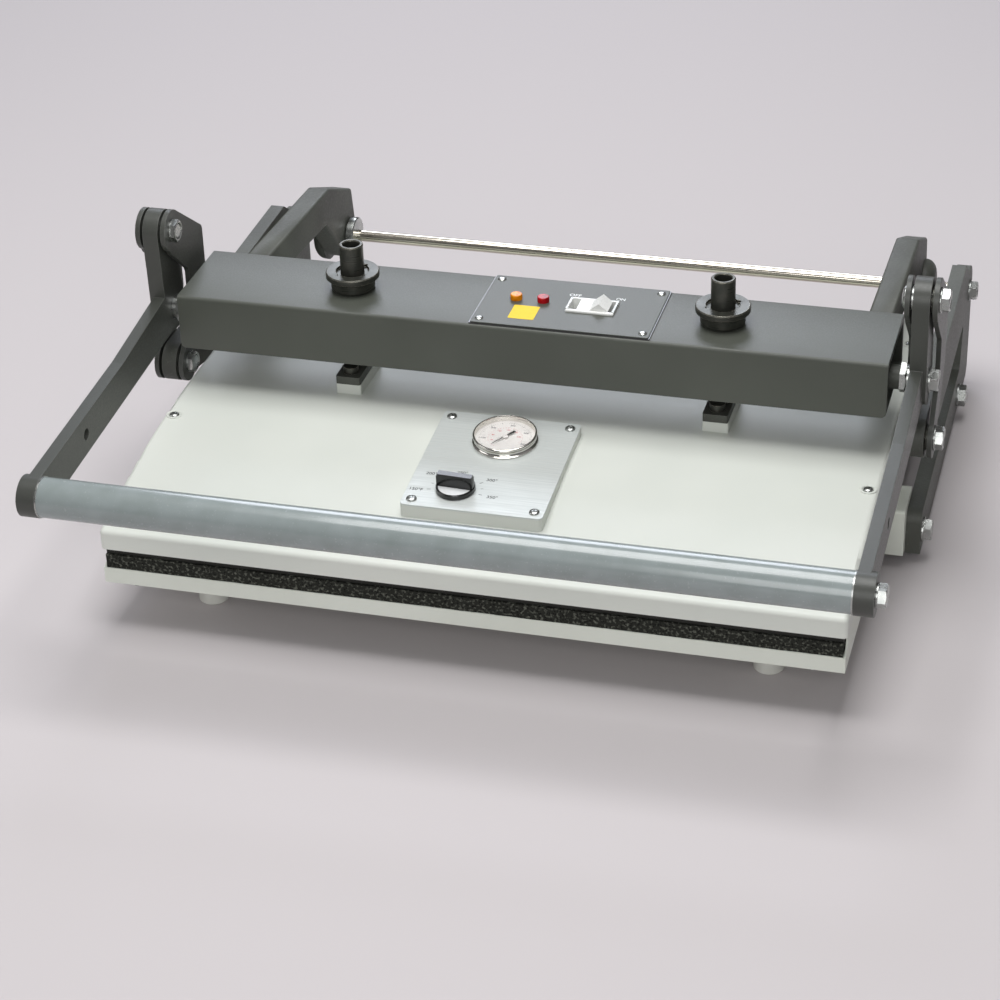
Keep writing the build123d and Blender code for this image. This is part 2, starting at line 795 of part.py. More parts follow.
with BuildPart() as hanger_screws:
    with Locations((0, beam_y, hanger_top)):
        with GridLocations(post_spacing, hanger_screw_spacing, 2, 2):
            Cylinder(
                hanger_screw_head_radius, hanger_screw_head, align=(Align.CENTER, Align.CENTER, Align.MIN)
            )
            Cylinder(
                hanger_screw_radius,
                hanger_top - platen_top - hanger_screw_tip,
                align=(Align.CENTER, Align.CENTER, Align.MAX),
            )

post_x = post_spacing / 2
post_top = beam_top + post_rise
collar_top = beam_top + collar_height
ring_bottom = collar_top + fit

with BuildPart() as pressure_posts:
    with BuildSketch(Plane.XY.offset(hanger_top)):
        with Locations((0, beam_y)):
            with GridLocations(post_spacing, 0, 2, 1):
                Circle(post_radius)
                Circle(post_bore, mode=Mode.SUBTRACT)
    extrude(amount=post_top - hanger_top)
    chamfer(pressure_posts.edges().group_by(Axis.Z)[-1], 0.8)

with BuildPart() as post_collars:
    with BuildSketch(Plane.XY.offset(beam_top)):
        with Locations((0, beam_y)):
            with GridLocations(post_spacing, 0, 2, 1):
                Circle(collar_radius)
                Circle(post_radius + fit, mode=Mode.SUBTRACT)
    extrude(amount=collar_height)
    fillet(
        post_collars.edges().filter_by(GeomType.CIRCLE).group_by(Axis.Z)[0].sort_by(SortBy.RADIUS)[-2:], 2.5
    )

with BuildPart() as lock_ring_right:
    with BuildSketch(Plane.XY.offset(ring_bottom)):
        with Locations((post_x, beam_y)):
            Circle(lock_ring_radius)
            Circle(post_radius + fit, mode=Mode.SUBTRACT)
    extrude(amount=lock_ring_height)
    chamfer(
        lock_ring_right.edges().filter_by(GeomType.CIRCLE).filter_by(lambda e: e.radius > lock_ring_radius - 1), 0.8
    )
    with BuildSketch(Plane.XY.offset(ring_bottom + lock_ring_height)):
        with Locations((post_x, beam_y)):
            Circle(lock_ring_recess_radius)
            Circle(post_radius + fit, mode=Mode.SUBTRACT)
        # Four spanner notches in the recess
        with Locations((post_x, beam_y)):
            with PolarLocations(lock_ring_recess_radius, 4, start_angle=lock_ring_notch_angle):
                Circle(lock_ring_notch_radius)
    extrude(amount=-lock_ring_recess_depth, mode=Mode.SUBTRACT)
lock_ring_left = mirrored(lock_ring_right)

# ---------------------------------------------------------------- beam
panel_y = beam_y
panel_top = beam_top + panel_thickness
panel_screw_spacing = (panel_width - 2 * panel_screw_inset_x, panel_depth - 2 * panel_screw_inset_y)
switch_place = (switch_x, beam_y + switch_y)
lamp_places = [(x, beam_y + lamp_up_panel) for x in lamp_x]

with BuildPart() as beam:
    with BuildSketch(Plane.YZ.offset(-beam_end_x)):
        with Locations((beam_y, (beam_bottom + beam_top) / 2)):
            RectangleRounded(beam_depth, beam_height, beam_corner)
            RectangleRounded(
                beam_depth - 2 * beam_wall,
                beam_height - 2 * beam_wall,
                max(beam_corner - beam_wall, 0.5),
                mode=Mode.SUBTRACT,
            )
    extrude(amount=beam_length)
    with BuildSketch(Plane.XY.offset(beam_bottom)):
        with Locations((0, beam_y)):
            with GridLocations(post_spacing, 0, 2, 1):
                Circle(post_radius + fit)
    extrude(amount=beam_height, mode=Mode.SUBTRACT)
    # Openings under the switch panel
    with BuildSketch(Plane.XY.offset(beam_top - beam_wall)):
        with Locations(switch_place):
            Rectangle(
                switch_opening_length + 2 * switch_hole_clearance,
                switch_opening_width + 2 * switch_hole_clearance,
            )
        with Locations(*lamp_places):
            Circle(lamp_stem_radius + lamp_stem_clearance)
        with Locations((panel_middle_x, panel_y)):
            with GridLocations(*panel_screw_spacing, 2, 2):
                Circle(panel_screw_radius + fit)
    extrude(amount=beam_wall, mode=Mode.SUBTRACT)

pivot_block_inner_x = beam_end_x - pivot_block_length
pivot_boss_end_x = beam_end_x + pivot_boss_length
crank_washer_x = crank_outer_x + 2 * fit
crank_nut_x = crank_washer_x + washer_thickness
crank_nut_end_x = crank_nut_x + nut_height

with BuildPart() as pivot_blocks:
    with BuildSketch(Plane.YZ.offset(pivot_block_inner_x)):
        with Locations((beam_y, (beam_bottom + beam_top) / 2)):
            RectangleRounded(
                beam_depth - 2 * beam_wall - 2 * fit,
                beam_height - 2 * beam_wall - 2 * fit,
                max(beam_corner - beam_wall, 0.5) + 0.5,
            )
    extrude(amount=pivot_block_length - pivot_block_recess)
    add(
        studs_on_x([crank_pivot], pivot_boss_radius, beam_end_x - pivot_block_recess, pivot_boss_end_x)
    )
    add(
        studs_on_x([crank_pivot], pivot_bolt_radius + fit, pivot_block_inner_x, pivot_boss_end_x),
        mode=Mode.SUBTRACT,
    )
    mirror(about=Plane.YZ)

with BuildPart() as crank_studs:
    add(studs_on_x([crank_pivot], pivot_bolt_radius, pivot_block_inner_x, crank_nut_end_x - stud_tip))
    mirror(about=Plane.YZ)

with BuildPart() as jam_nuts:
    add(
        hexes_on_x(
            [crank_pivot],
            jam_nut_flats,
            pivot_boss_end_x,
            pivot_boss_end_x + jam_nut_height,
            pivot_bolt_radius + fit,
        )
    )
    mirror(about=Plane.YZ)

with BuildPart() as crank_washers:
    for start_x, end_x in (
        (pivot_boss_end_x + jam_nut_height, crank_inner_x - 2 * fit),
        (crank_washer_x, crank_nut_x),
    ):
        add(rings_on_x([crank_pivot], washer_radius, pivot_bolt_radius + fit, start_x, end_x))
    mirror(about=Plane.YZ)

with BuildPart() as crank_nuts:
    add(
        hexes_on_x(
            [crank_pivot], pivot_flats, crank_nut_x, crank_nut_end_x, pivot_bolt_radius + fit
        )
    )
    mirror(about=Plane.YZ)

# ---------------------------------------------------------------- yoke arms
arm_front_top = beam_top - yoke_arm_top_drop
arm_front_bottom = beam_bottom + yoke_arm_bottom_rise

with BuildPart() as yoke_arm_right:
    with BuildSketch(Plane.YZ.offset(yoke_arm_inner_x)) as yoke_arm_sketch:
        with BuildLine():
            Polyline(
                (beam_rear_y, arm_front_top),
                (hinge[0] + yoke_apex_offset[0], hinge[1] + yoke_apex_offset[1]),
                (hinge[0] + yoke_shoulder_offset[0], hinge[1] + yoke_shoulder_offset[1]),
                (hinge[0] + yoke_hinge_lobe, hinge[1]),
                (hinge[0] - yoke_notch_lean * yoke_hinge_lobe, hinge[1] - yoke_notch_drop * yoke_hinge_lobe),
                (hinge[0] + yoke_notch_offset[0], hinge[1] + yoke_notch_offset[1]),
                (beam_rear_y, arm_front_bottom),
                close=True,
            )
        make_face()
        for corner in (yoke_apex_offset, yoke_shoulder_offset, yoke_notch_offset):
            spot = (hinge[0] + corner[0], hinge[1] + corner[1])
            fillet(yoke_arm_sketch.vertices().sort_by_distance(spot)[0], yoke_corner)
        with Locations(hinge):
            Circle(yoke_hinge_lobe)
    extrude(amount=yoke_arm_thickness)
    face_edges = yoke_arm_right.edges().filter_by(Plane.YZ)
    fillet(face_edges.filter_by(lambda e: abs(e.center().Y - beam_rear_y) > 1.0), yoke_edge_radius)
    # Flanged hub against the rod
    with BuildSketch(Plane.YZ.offset(yoke_arm_outer_x - yoke_edge_radius)):
        with Locations(hinge):
            Circle(yoke_hub_radius)
    extrude(amount=yoke_hub_length + yoke_edge_radius)
    fillet(
        yoke_arm_right.edges().filter_by(GeomType.CIRCLE).sort_by(Axis.X)[-1],
        yoke_hub_edge,
    )
    add(
        studs_on_x([hinge], rod_radius + fit, yoke_arm_inner_x, yoke_arm_outer_x + yoke_hub_length),
        mode=Mode.SUBTRACT,
    )
yoke_arm_left = mirrored(yoke_arm_right)

# ---------------------------------------------------------------- handle
arm_bar_x = crank_inner_x + arm_bar_inset
arm_bar_outer_x = arm_bar_x + arm_bar_thickness
boss_inner_x = crank_inner_x - 0.3
boss_outer_x = boss_inner_x + grip_boss_width
arm_mid_y = crank_pivot[0] - arm_mid_reach
arm_hole = (crank_pivot[0] - arm_hole_reach, crank_pivot[1] - arm_hole_drop)

with BuildPart() as handle_arm_right:
    # Crank between the pivot on the beam and the top of the straps
    with BuildSketch(Plane.YZ.offset(crank_inner_x)):
        with Locations(crank_pivot):
            Circle(crank_hub)
        with Locations(strap_top):
            Circle(crank_lobe)
        make_hull()
        with Locations(crank_pivot):
            Circle(pivot_bolt_radius + fit, mode=Mode.SUBTRACT)
        with Locations(strap_top):
            Circle(pivot_bolt_radius + open_pivot_play, mode=Mode.SUBTRACT)
    extrude(amount=crank_thickness)
    # Tapered bar forward to the grip
    with BuildSketch(Plane.YZ.offset(arm_bar_x)):
        with BuildLine():
            Polyline(
                (crank_pivot[0] - crank_hub + arm_root_front, crank_pivot[1] + arm_root_top),
                (arm_mid_y, crank_pivot[1] + arm_mid_top),
                (grip[0] + 0.8, grip[1] + grip_boss_radius - 0.05),
                (grip[0] - 0.8, grip[1] - grip_boss_radius + 0.05),
                (arm_mid_y, crank_pivot[1] - arm_mid_bottom),
                (crank_pivot[0] - crank_hub + arm_root_front, crank_pivot[1] - arm_root_bottom + 3.0),
                (crank_pivot[0] + arm_root_front, crank_pivot[1] - crank_hub + 0.5),
                (crank_pivot[0] + arm_root_front, crank_pivot[1] + arm_root_top),
                close=True,
            )
        make_face()
        with Locations(crank_pivot):
            Circle(pivot_bolt_radius + fit, mode=Mode.SUBTRACT)
        with Locations(arm_hole):
            Circle(arm_hole_radius, mode=Mode.SUBTRACT)
    extrude(amount=arm_bar_thickness)
    with BuildSketch(Plane.YZ.offset(boss_inner_x)):
        with Locations(grip):
            Circle(grip_boss_radius)
    extrude(amount=grip_boss_width)
    add(
        studs_on_x([grip], grip_bolt_radius + fit, boss_inner_x, boss_outer_x),
        mode=Mode.SUBTRACT,
    )
handle_arm_left = mirrored(handle_arm_right)

grip_end_x = boss_inner_x - grip_washer
with BuildPart() as handle_bar:
    with BuildSketch(Plane.YZ.offset(-grip_end_x)):
        with Locations(grip):
            Circle(grip_radius)
            Circle(grip_radius - grip_wall, mode=Mode.SUBTRACT)
    extrude(amount=2 * grip_end_x)

with BuildPart() as grip_plugs:
    add(
        rings_on_x(
            [grip],
            grip_radius - grip_wall - fit,
            grip_bolt_radius + fit,
            grip_end_x - grip_plug_length,
            grip_end_x,
        )
    )
    mirror(about=Plane.YZ)

with BuildPart() as grip_washers:
    add(rings_on_x([grip], grip_radius + 0.4, grip_bolt_radius + fit, grip_end_x, boss_inner_x))
    add(
        rings_on_x(
            [grip],
            grip_bolt_washer_radius,
            grip_bolt_radius + fit,
            boss_outer_x,
            boss_outer_x + washer_thickness,
        )
    )
    mirror(about=Plane.YZ)

with BuildPart() as grip_bolts:
    grip_bolt_seat_x = boss_outer_x + washer_thickness
    add(studs_on_x([grip], grip_bolt_radius, grip_end_x - grip_plug_length + grip_plug_floor, grip_bolt_seat_x))
    add(hexes_on_x([grip], grip_bolt_flats, grip_bolt_seat_x, grip_bolt_seat_x + grip_bolt_head))
    mirror(about=Plane.YZ)

# ---------------------------------------------------------------- straps from the crank down to the side frames
strap_pivots = [strap_top, strap_foot]

def strap_at(start_x):
    """Strap bowed to the rear, so that it passes behind the crank's pivot when the press is closed."""
    with BuildPart() as strap:
        with BuildSketch(Plane.YZ.offset(start_x)) as strap_sketch:
            with BuildLine():
                Polyline(
                    (strap_top[0] - strap_lobe, strap_top[1]),
                    (crank_pivot[0] - strap_shoulder_front, crank_pivot[1] + strap_shoulder_rise),
                    (crank_pivot[0] + strap_waist_front, crank_pivot[1] + strap_waist_rise),
                    (crank_pivot[0] + strap_waist_front, crank_pivot[1] - strap_waist_drop),
                    (strap_foot[0] - strap_foot_lobe + 1.5, strap_foot[1] + 6.0),
                    (strap_foot[0] + strap_foot_lobe, strap_foot[1]),
                    (crank_pivot[0] + strap_back, crank_pivot[1] - strap_waist_drop),
                    (crank_pivot[0] + strap_back, crank_pivot[1] + strap_back_rise),
                    (
                        strap_top[0] + strap_lobe * cos(radians(strap_top_facing)),
                        strap_top[1] + strap_lobe * sin(radians(strap_top_facing)),
                    ),
                    close=True,
                )
            make_face()
            for spot in (
                (crank_pivot[0] + strap_waist_front, crank_pivot[1] + strap_waist_rise),
                (crank_pivot[0] + strap_waist_front, crank_pivot[1] - strap_waist_drop),
                (crank_pivot[0] + strap_back, crank_pivot[1] + strap_back_rise),
                (crank_pivot[0] + strap_back, crank_pivot[1] - strap_waist_drop),
            ):
                fillet(strap_sketch.vertices().sort_by_distance(spot)[0], strap_bend)
            with Locations(strap_top):
                Circle(strap_lobe)
            with Locations(strap_foot):
                Circle(strap_foot_lobe)
            with Locations(*strap_pivots):
                Circle(pivot_bolt_radius + fit, mode=Mode.SUBTRACT)
        extrude(amount=strap_thickness)
    return strap.part

with BuildPart() as inner_straps:
    add(strap_at(inner_strap_x))
    mirror(about=Plane.YZ)

with BuildPart() as outer_straps:
    add(strap_at(outer_strap_x))
    mirror(about=Plane.YZ)

strap_nut_x = strap_outer_face_x + washer_thickness
with BuildPart() as strap_bolts:
    # Heads inboard, on the inner straps
    add(
        hexes_on_x(
            strap_pivots,
            pivot_flats,
            inner_strap_x - bolt_head_height,
            inner_strap_x,
        )
    )
    add(studs_on_x(strap_pivots, pivot_bolt_radius, inner_strap_x, bolt_end_x - stud_tip))
    mirror(about=Plane.YZ)

with BuildPart() as strap_washers:
    add(
        rings_on_x(strap_pivots, washer_radius, pivot_bolt_radius + fit, strap_outer_face_x, strap_nut_x)
    )
    # Spacers between the straps and the crank above, and the side frame below
    for pivot, inner_x, outer_x in (
        (strap_top, crank_inner_x, crank_outer_x),
        (strap_foot, frame_inner_x, frame_outer_x),
    ):
        for start_x, end_x in (
            (inner_strap_x + strap_thickness, inner_x - seat_gap),
            (outer_x + seat_gap, outer_strap_x),
        ):
            add(rings_on_x([pivot], spacer_radius, pivot_bolt_radius + fit, start_x, end_x))
    mirror(about=Plane.YZ)

with BuildPart() as strap_nuts:
    add(hexes_on_x(strap_pivots, pivot_flats, strap_nut_x, bolt_end_x, pivot_bolt_radius + fit))
    mirror(about=Plane.YZ)

# ---------------------------------------------------------------- control box on the cover
plate_screw_grid = (box_width - 2 * plate_screw_inset, plate_length - 2 * plate_screw_inset)
plate_centre = (0, plate_length / 2)

with BuildPart() as control_box:
    with BuildSketch(Plane.YZ.offset(box_middle_x - box_width / 2)):
        with BuildLine():
            rear_y = plate_front_y + box_depth
            top_front = box_front_height - plate_thickness / cos(radians(box_tilt))
            low_front = (plate_front_y, cover_level(plate_front_y) + fit)
            low_rear = (rear_y, cover_level(rear_y) + fit)
            Line((plate_front_y, top_front), low_front)
            RadiusArc(low_front, low_rear, cover_crown_radius)
            Line(low_rear, (rear_y, top_front + box_depth * box_slope))
            Line((rear_y, top_front + box_depth * box_slope), (plate_front_y, top_front))
        make_face()
    extrude(amount=box_width)
    fillet(control_box.edges().filter_by(Axis.Z), box_corner)
    # Hollow from end to end, with a boss for a screw in each corner
    with BuildSketch(Plane.XY.offset(cover_bottom)) as hollow:
        with Locations((box_middle_x, plate_front_y + box_depth / 2)):
            RectangleRounded(box_width - 2 * box_wall, box_depth - 2 * box_wall, box_corner - box_wall)
            with GridLocations(plate_screw_grid[0], box_depth - 2 * plate_screw_inset, 2, 2):
                Circle(box_boss_radius, mode=Mode.SUBTRACT)
            with GridLocations(box_width - 2 * box_wall, box_depth - 2 * plate_screw_inset, 2, 2):
                Rectangle(
                    2 * (plate_screw_inset - box_wall),
                    2 * box_boss_radius,
                    mode=Mode.SUBTRACT,
                )
    extrude(amount=2 * cover_height, mode=Mode.SUBTRACT)
    with Locations(plate_plane):
        with Locations((*plate_centre, 0)):
            with GridLocations(*plate_screw_grid, 2, 2):
                Cylinder(
                    plate_screw_radius + fit,
                    plate_screw_length + plate_thickness,
                    align=(Align.CENTER, Align.CENTER, Align.MAX),
                    mode=Mode.SUBTRACT,
                )

with BuildPart() as control_plate:
    with BuildSketch(plate_plane):
        with Locations(plate_centre):
            RectangleRounded(box_width, plate_length, box_corner)
            with GridLocations(*plate_screw_grid, 2, 2):
                Circle(plate_screw_radius + fit, mode=Mode.SUBTRACT)
        with Locations(gauge_spot):
            Circle(gauge_stem_radius + fit, mode=Mode.SUBTRACT)
        with Locations(knob_spot):
            Circle(spindle_radius + fit, mode=Mode.SUBTRACT)
    extrude(amount=-plate_thickness)

with BuildPart() as plate_screws:
    with Locations(plate_plane):
        with Locations((*plate_centre, 0)):
            with GridLocations(*plate_screw_grid, 2, 2):
                Cylinder(
                    plate_screw_head_radius, plate_screw_head, align=(Align.CENTER, Align.CENTER, Align.MIN)
                )
                Cylinder(
                    plate_screw_radius, plate_screw_length, align=(Align.CENTER, Align.CENTER, Align.MAX)
                )

gauge_plane = Plane(plate_plane.from_local_coords((*gauge_spot, 0)), x_dir=(1, 0, 0), z_dir=plate_plane.z_dir)
knob_plane = Plane(plate_plane.from_local_coords((*knob_spot, 0)), x_dir=(1, 0, 0), z_dir=plate_plane.z_dir)
gauge_glass_top = gauge_height - gauge_glass_inset
gauge_inner = gauge_radius - gauge_rim

with BuildPart() as thermometer_case:
    with BuildSketch(gauge_plane):
        Circle(gauge_radius)
    extrude(amount=gauge_height)
    fillet(thermometer_case.edges().filter_by(lambda e: gauge_plane.to_local_coords(e.center()).Z > 1), 1.2)
    with BuildSketch(gauge_plane.offset(gauge_floor)):
        Circle(gauge_inner)
    extrude(amount=gauge_height, mode=Mode.SUBTRACT)
    with BuildSketch(gauge_plane.offset(-gauge_stem_length)):
        Circle(gauge_stem_radius)
    extrude(amount=gauge_stem_length)

with BuildPart() as thermometer_dial:
    with BuildSketch(gauge_plane.offset(gauge_floor)):
        Circle(gauge_inner - fit)
    extrude(amount=gauge_dial)
    with BuildSketch(gauge_plane.offset(gauge_floor + gauge_dial)):
        Circle(gauge_spindle_radius)
    extrude(amount=needle_lift + needle_thickness + 0.3)

with BuildPart() as thermometer_needle:
    with BuildSketch(gauge_plane.offset(gauge_floor + gauge_dial + needle_lift)):
        with Locations(Location((0, 0, 0), (0, 0, needle_angle))):
            Circle(needle_hub_radius)
            with Locations(((needle_reach - needle_tail) / 2, 0)):
                Rectangle(needle_reach + needle_tail, needle_width)
            Circle(gauge_spindle_radius + fit, mode=Mode.SUBTRACT)
    extrude(amount=needle_thickness)

with BuildPart() as thermometer_glass:
    with BuildSketch(gauge_plane.offset(gauge_glass_top - gauge_glass)):
        Circle(gauge_inner - fit)
    extrude(amount=gauge_glass)

with BuildPart() as thermostat_body:
    with BuildSketch(knob_plane.offset(-plate_thickness)):
        Circle(thermostat_radius)
    extrude(amount=-thermostat_height)
    with BuildSketch(knob_plane.offset(-plate_thickness)):
        Circle(spindle_radius)
    extrude(amount=plate_thickness + spindle_length)

with BuildPart() as thermostat_knob:
    with BuildSketch(knob_plane.offset(seat_gap)):
        Circle(knob_radius)
    extrude(amount=knob_skirt, taper=4)
    with BuildSketch(knob_plane.offset(seat_gap + knob_skirt)) as blade_section:
        with Locations(Location((0, 0, 0), (0, 0, knob_blade_angle))):
            Rectangle(2 * knob_radius - 1.6, knob_blade)
    extrude(amount=knob_height - knob_skirt)
    fillet(
        thermostat_knob.edges().filter_by(
            lambda e: knob_plane.to_local_coords(e.center()).Z > knob_height - 0.5
        ),
        1.0,
    )
    with BuildSketch(knob_plane.offset(seat_gap)):
        Circle(spindle_radius + fit)
    extrude(amount=spindle_length, mode=Mode.SUBTRACT)

# ---------------------------------------------------------------- switch panel on the beam
with BuildPart() as switch_panel:
    with BuildSketch(Plane.XY.offset(beam_top)):
        with Locations((panel_middle_x, panel_y)):
            RectangleRounded(panel_width, panel_depth, 1.5)
            with GridLocations(*panel_screw_spacing, 2, 2):
                Circle(panel_screw_radius + fit, mode=Mode.SUBTRACT)
        with Locations(switch_place):
            Rectangle(
                switch_opening_length + 2 * switch_frame_seat,
                switch_opening_width + 2 * switch_frame_seat,
                mode=Mode.SUBTRACT,
            )
        with Locations(*lamp_places):
            Circle(lamp_stem_radius + fit, mode=Mode.SUBTRACT)
    extrude(amount=panel_thickness)

with BuildPart() as panel_screws:
    with Locations((panel_middle_x, panel_y, panel_top)):
        with GridLocations(*panel_screw_spacing, 2, 2):
            Cylinder(panel_screw_head_radius, panel_screw_head, align=(Align.CENTER, Align.CENTER, Align.MIN))
            Cylinder(panel_screw_radius, beam_wall, align=(Align.CENTER, Align.CENTER, Align.MAX))

def lamp_at(place):
    """Flat-topped indicator lamp on a stem through the panel."""
    with BuildPart() as lamp:
        with Locations((*place, panel_top)):
            Cylinder(lamp_radius, lamp_height, align=(Align.CENTER, Align.CENTER, Align.MIN))
            Cylinder(lamp_stem_radius, beam_wall + panel_thickness, align=(Align.CENTER, Align.CENTER, Align.MAX))
        fillet(lamp.edges().group_by(Axis.Z)[-1], lamp_edge)
    return lamp

amber_lamp, red_lamp = (lamp_at(place) for place in lamp_places)

rocker_pivot = (switch_x, panel_top + rocker_pivot_rise)
with BuildPart() as switch_body:
    with BuildSketch(Plane.XY.offset(panel_top)):
        with Locations(switch_place):
            RectangleRounded(switch_length, switch_width, 1.0)
    extrude(amount=switch_rim)
    chamfer(switch_body.edges().group_by(Axis.Z)[-1], 0.6)
    with BuildSketch(Plane.XY.offset(panel_top)):
        with Locations(switch_place):
            Rectangle(
                switch_opening_length + 2 * switch_frame_seat - 2 * fit,
                switch_opening_width + 2 * switch_frame_seat - 2 * fit,
            )
    extrude(amount=-switch_body_depth)
    with BuildSketch(Plane.XY.offset(panel_top + switch_rim)):
        with Locations(switch_place):
            Rectangle(switch_opening_length, switch_opening_width)
    extrude(amount=-switch_cavity_depth - switch_rim, mode=Mode.SUBTRACT)
    with BuildSketch(Plane.XZ.offset(-switch_place[1] - switch_opening_width / 2)):
        with Locations(rocker_pivot):
            Circle(rocker_pin_radius)
    extrude(amount=switch_opening_width)

rocker_plane = Plane(
    origin=(rocker_pivot[0], switch_place[1] + rocker_width / 2, rocker_pivot[1]),
    x_dir=(cos(radians(rocker_throw / 2)), 0, sin(radians(rocker_throw / 2))),
    z_dir=(0, -1, 0),
)
with BuildPart() as rocker:
    with BuildSketch(rocker_plane):
        with BuildLine():
            Polyline(
                (-rocker_peak_reach, rocker_peak_height),
                (0, rocker_middle_height),
                (rocker_peak_reach, rocker_peak_height),
                (rocker_length / 2, -rocker_depth),
                (-rocker_length / 2, -rocker_depth),
                close=True,
            )
        make_face()
        Circle(rocker_pin_radius + fit, mode=Mode.SUBTRACT)
    extrude(amount=rocker_width)

# ---------------------------------------------------------------- write the nodes
for node, piece in {
    "base_tray": base_tray,
    "feet": feet,
    "base_screws": base_screws,
    "sponge_pad": sponge_pad,
    "front_cross_channel": front_cross_channel,
    "rear_cross_channel": rear_cross_channel,
    "side_frame_left": side_frame_left,
    "side_frame_right": side_frame_right,
    "frame_bolts": frame_bolts,
    "frame_washers": frame_washers,
    "frame_nuts": frame_nuts,
    "hinge_rod": hinge_rod,
    "shaft_collars": shaft_collars,
    "platen": platen,
    "platen_cover": platen_cover,
    "platen_supports": platen_supports,
    "cover_screws": cover_screws,
    "heater_element": heater_element,
    "insulation_sheet": insulation_sheet,
    "saddle_blocks": saddle_blocks,
    "hanger_plates": hanger_plates,
    "hanger_screws": hanger_screws,
    "pressure_posts": pressure_posts,
    "post_collars": post_collars,
    "lock_ring_left": lock_ring_left,
    "lock_ring_right": lock_ring_right,
    "beam": beam,
    "pivot_blocks": pivot_blocks,
    "crank_studs": crank_studs,
    "jam_nuts": jam_nuts,
    "crank_washers": crank_washers,
    "crank_nuts": crank_nuts,
    "yoke_arm_left": yoke_arm_left,
    "yoke_arm_right": yoke_arm_right,
    "handle_arm_left": handle_arm_left,
    "handle_arm_right": handle_arm_right,
    "handle_bar": handle_bar,
    "grip_plugs": grip_plugs,
    "grip_washers": grip_washers,
    "grip_bolts": grip_bolts,
    "inner_straps": inner_straps,
    "outer_straps": outer_straps,
    "strap_bolts": strap_bolts,
    "strap_washers": strap_washers,
    "strap_nuts": strap_nuts,
    "control_box": control_box,
    "control_plate": control_plate,
    "plate_screws": plate_screws,
    "thermometer_case": thermometer_case,
    "thermometer_dial": thermometer_dial,
    "thermometer_needle": thermometer_needle,
    "thermometer_glass": thermometer_glass,
    "thermostat_body": thermostat_body,
    "thermostat_knob": thermostat_knob,
    "switch_panel": switch_panel,
    "panel_screws": panel_screws,
    "amber_lamp": amber_lamp,
    "red_lamp": red_lamp,
    "switch_body": switch_body,
    "rocker": rocker,
}.items():
    keep(piece, node)
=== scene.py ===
"""Dry mounting press: finishes, markings, fastenings and the sponge pad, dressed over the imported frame.

Metres. X runs across the press, +Y towards the hinge at the rear, +Z up.
Sizes in the classes are in millimetres and are turned to metres where they are used.
"""

import logging
from contextlib import contextmanager
from dataclasses import dataclass
from enum import Enum
from math import cos, radians, sin
from typing import Any, Callable, Iterable, Iterator, Optional, Sequence

import bpy
from mathutils import Matrix, Vector

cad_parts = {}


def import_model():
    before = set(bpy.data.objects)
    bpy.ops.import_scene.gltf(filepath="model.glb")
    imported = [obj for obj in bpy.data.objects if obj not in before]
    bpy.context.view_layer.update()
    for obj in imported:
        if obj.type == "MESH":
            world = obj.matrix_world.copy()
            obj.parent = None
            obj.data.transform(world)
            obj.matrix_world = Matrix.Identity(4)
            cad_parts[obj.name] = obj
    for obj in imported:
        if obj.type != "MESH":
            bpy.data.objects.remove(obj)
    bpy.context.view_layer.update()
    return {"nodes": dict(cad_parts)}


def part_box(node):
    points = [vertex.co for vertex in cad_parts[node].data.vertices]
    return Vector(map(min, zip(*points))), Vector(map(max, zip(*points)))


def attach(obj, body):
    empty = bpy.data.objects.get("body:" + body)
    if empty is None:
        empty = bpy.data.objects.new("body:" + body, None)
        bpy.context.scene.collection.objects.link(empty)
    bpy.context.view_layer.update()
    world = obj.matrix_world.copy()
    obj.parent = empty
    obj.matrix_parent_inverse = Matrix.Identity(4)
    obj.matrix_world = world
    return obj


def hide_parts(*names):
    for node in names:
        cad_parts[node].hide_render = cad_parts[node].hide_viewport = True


MM = 0.001

log = logging.getLogger("press")


# ---------------------------------------------------------------- colour and nodes
def srgb(code: str) -> tuple[float, float, float, float]:
    """Turn an sRGB hex value into the linear colour that a shader takes.

    Args:
        code: six hex digits, with or without a leading hash.

    Returns:
        Linear red, green, blue and an alpha of one.
    """
    digits = code.lstrip("#")
    channels = []
    for start in (0, 2, 4):
        level = int(digits[start : start + 2], 16) / 255
        channels.append(level / 12.92 if level <= 0.04045 else ((level + 0.055) / 1.055) ** 2.4)
    return (channels[0], channels[1], channels[2], 1.0)


def feed(tree: bpy.types.NodeTree, node: bpy.types.Node, inputs: dict[Any, Any]) -> None:
    """Fill a node's sockets, by name or index, with plain values or other nodes' outputs."""
    for socket, value in inputs.items():
        if isinstance(value, bpy.types.NodeSocket):
            tree.links.new(value, node.inputs[socket])
        else:
            node.inputs[socket].default_value = value


def add_node(
    tree: bpy.types.NodeTree,
    kind: str,
    inputs: Optional[dict[Any, Any]] = None,
    ramp: Sequence[tuple[float, Any]] = (),
    **settings: Any,
) -> bpy.types.Node:
    """Add a node, set its properties and sockets, and link what feeds it.

    Args:
        tree: the material's or world's node tree.
        kind: the node's type name.
        inputs: socket name or index to a plain value or to another node's output socket.
        ramp: (position, colour) stops, for a colour ramp.
        settings: properties of the node itself.

    Returns:
        The new node.
    """
    node = tree.nodes.new(kind)
    for name, value in settings.items():
        setattr(node, name, value)
    for place, (position, colour) in enumerate(ramp):
        stops = node.color_ramp.elements
        stop = stops[place] if place < 2 else stops.new(position)
        stop.position = position
        stop.color = colour
    feed(tree, node, inputs or {})
    return node


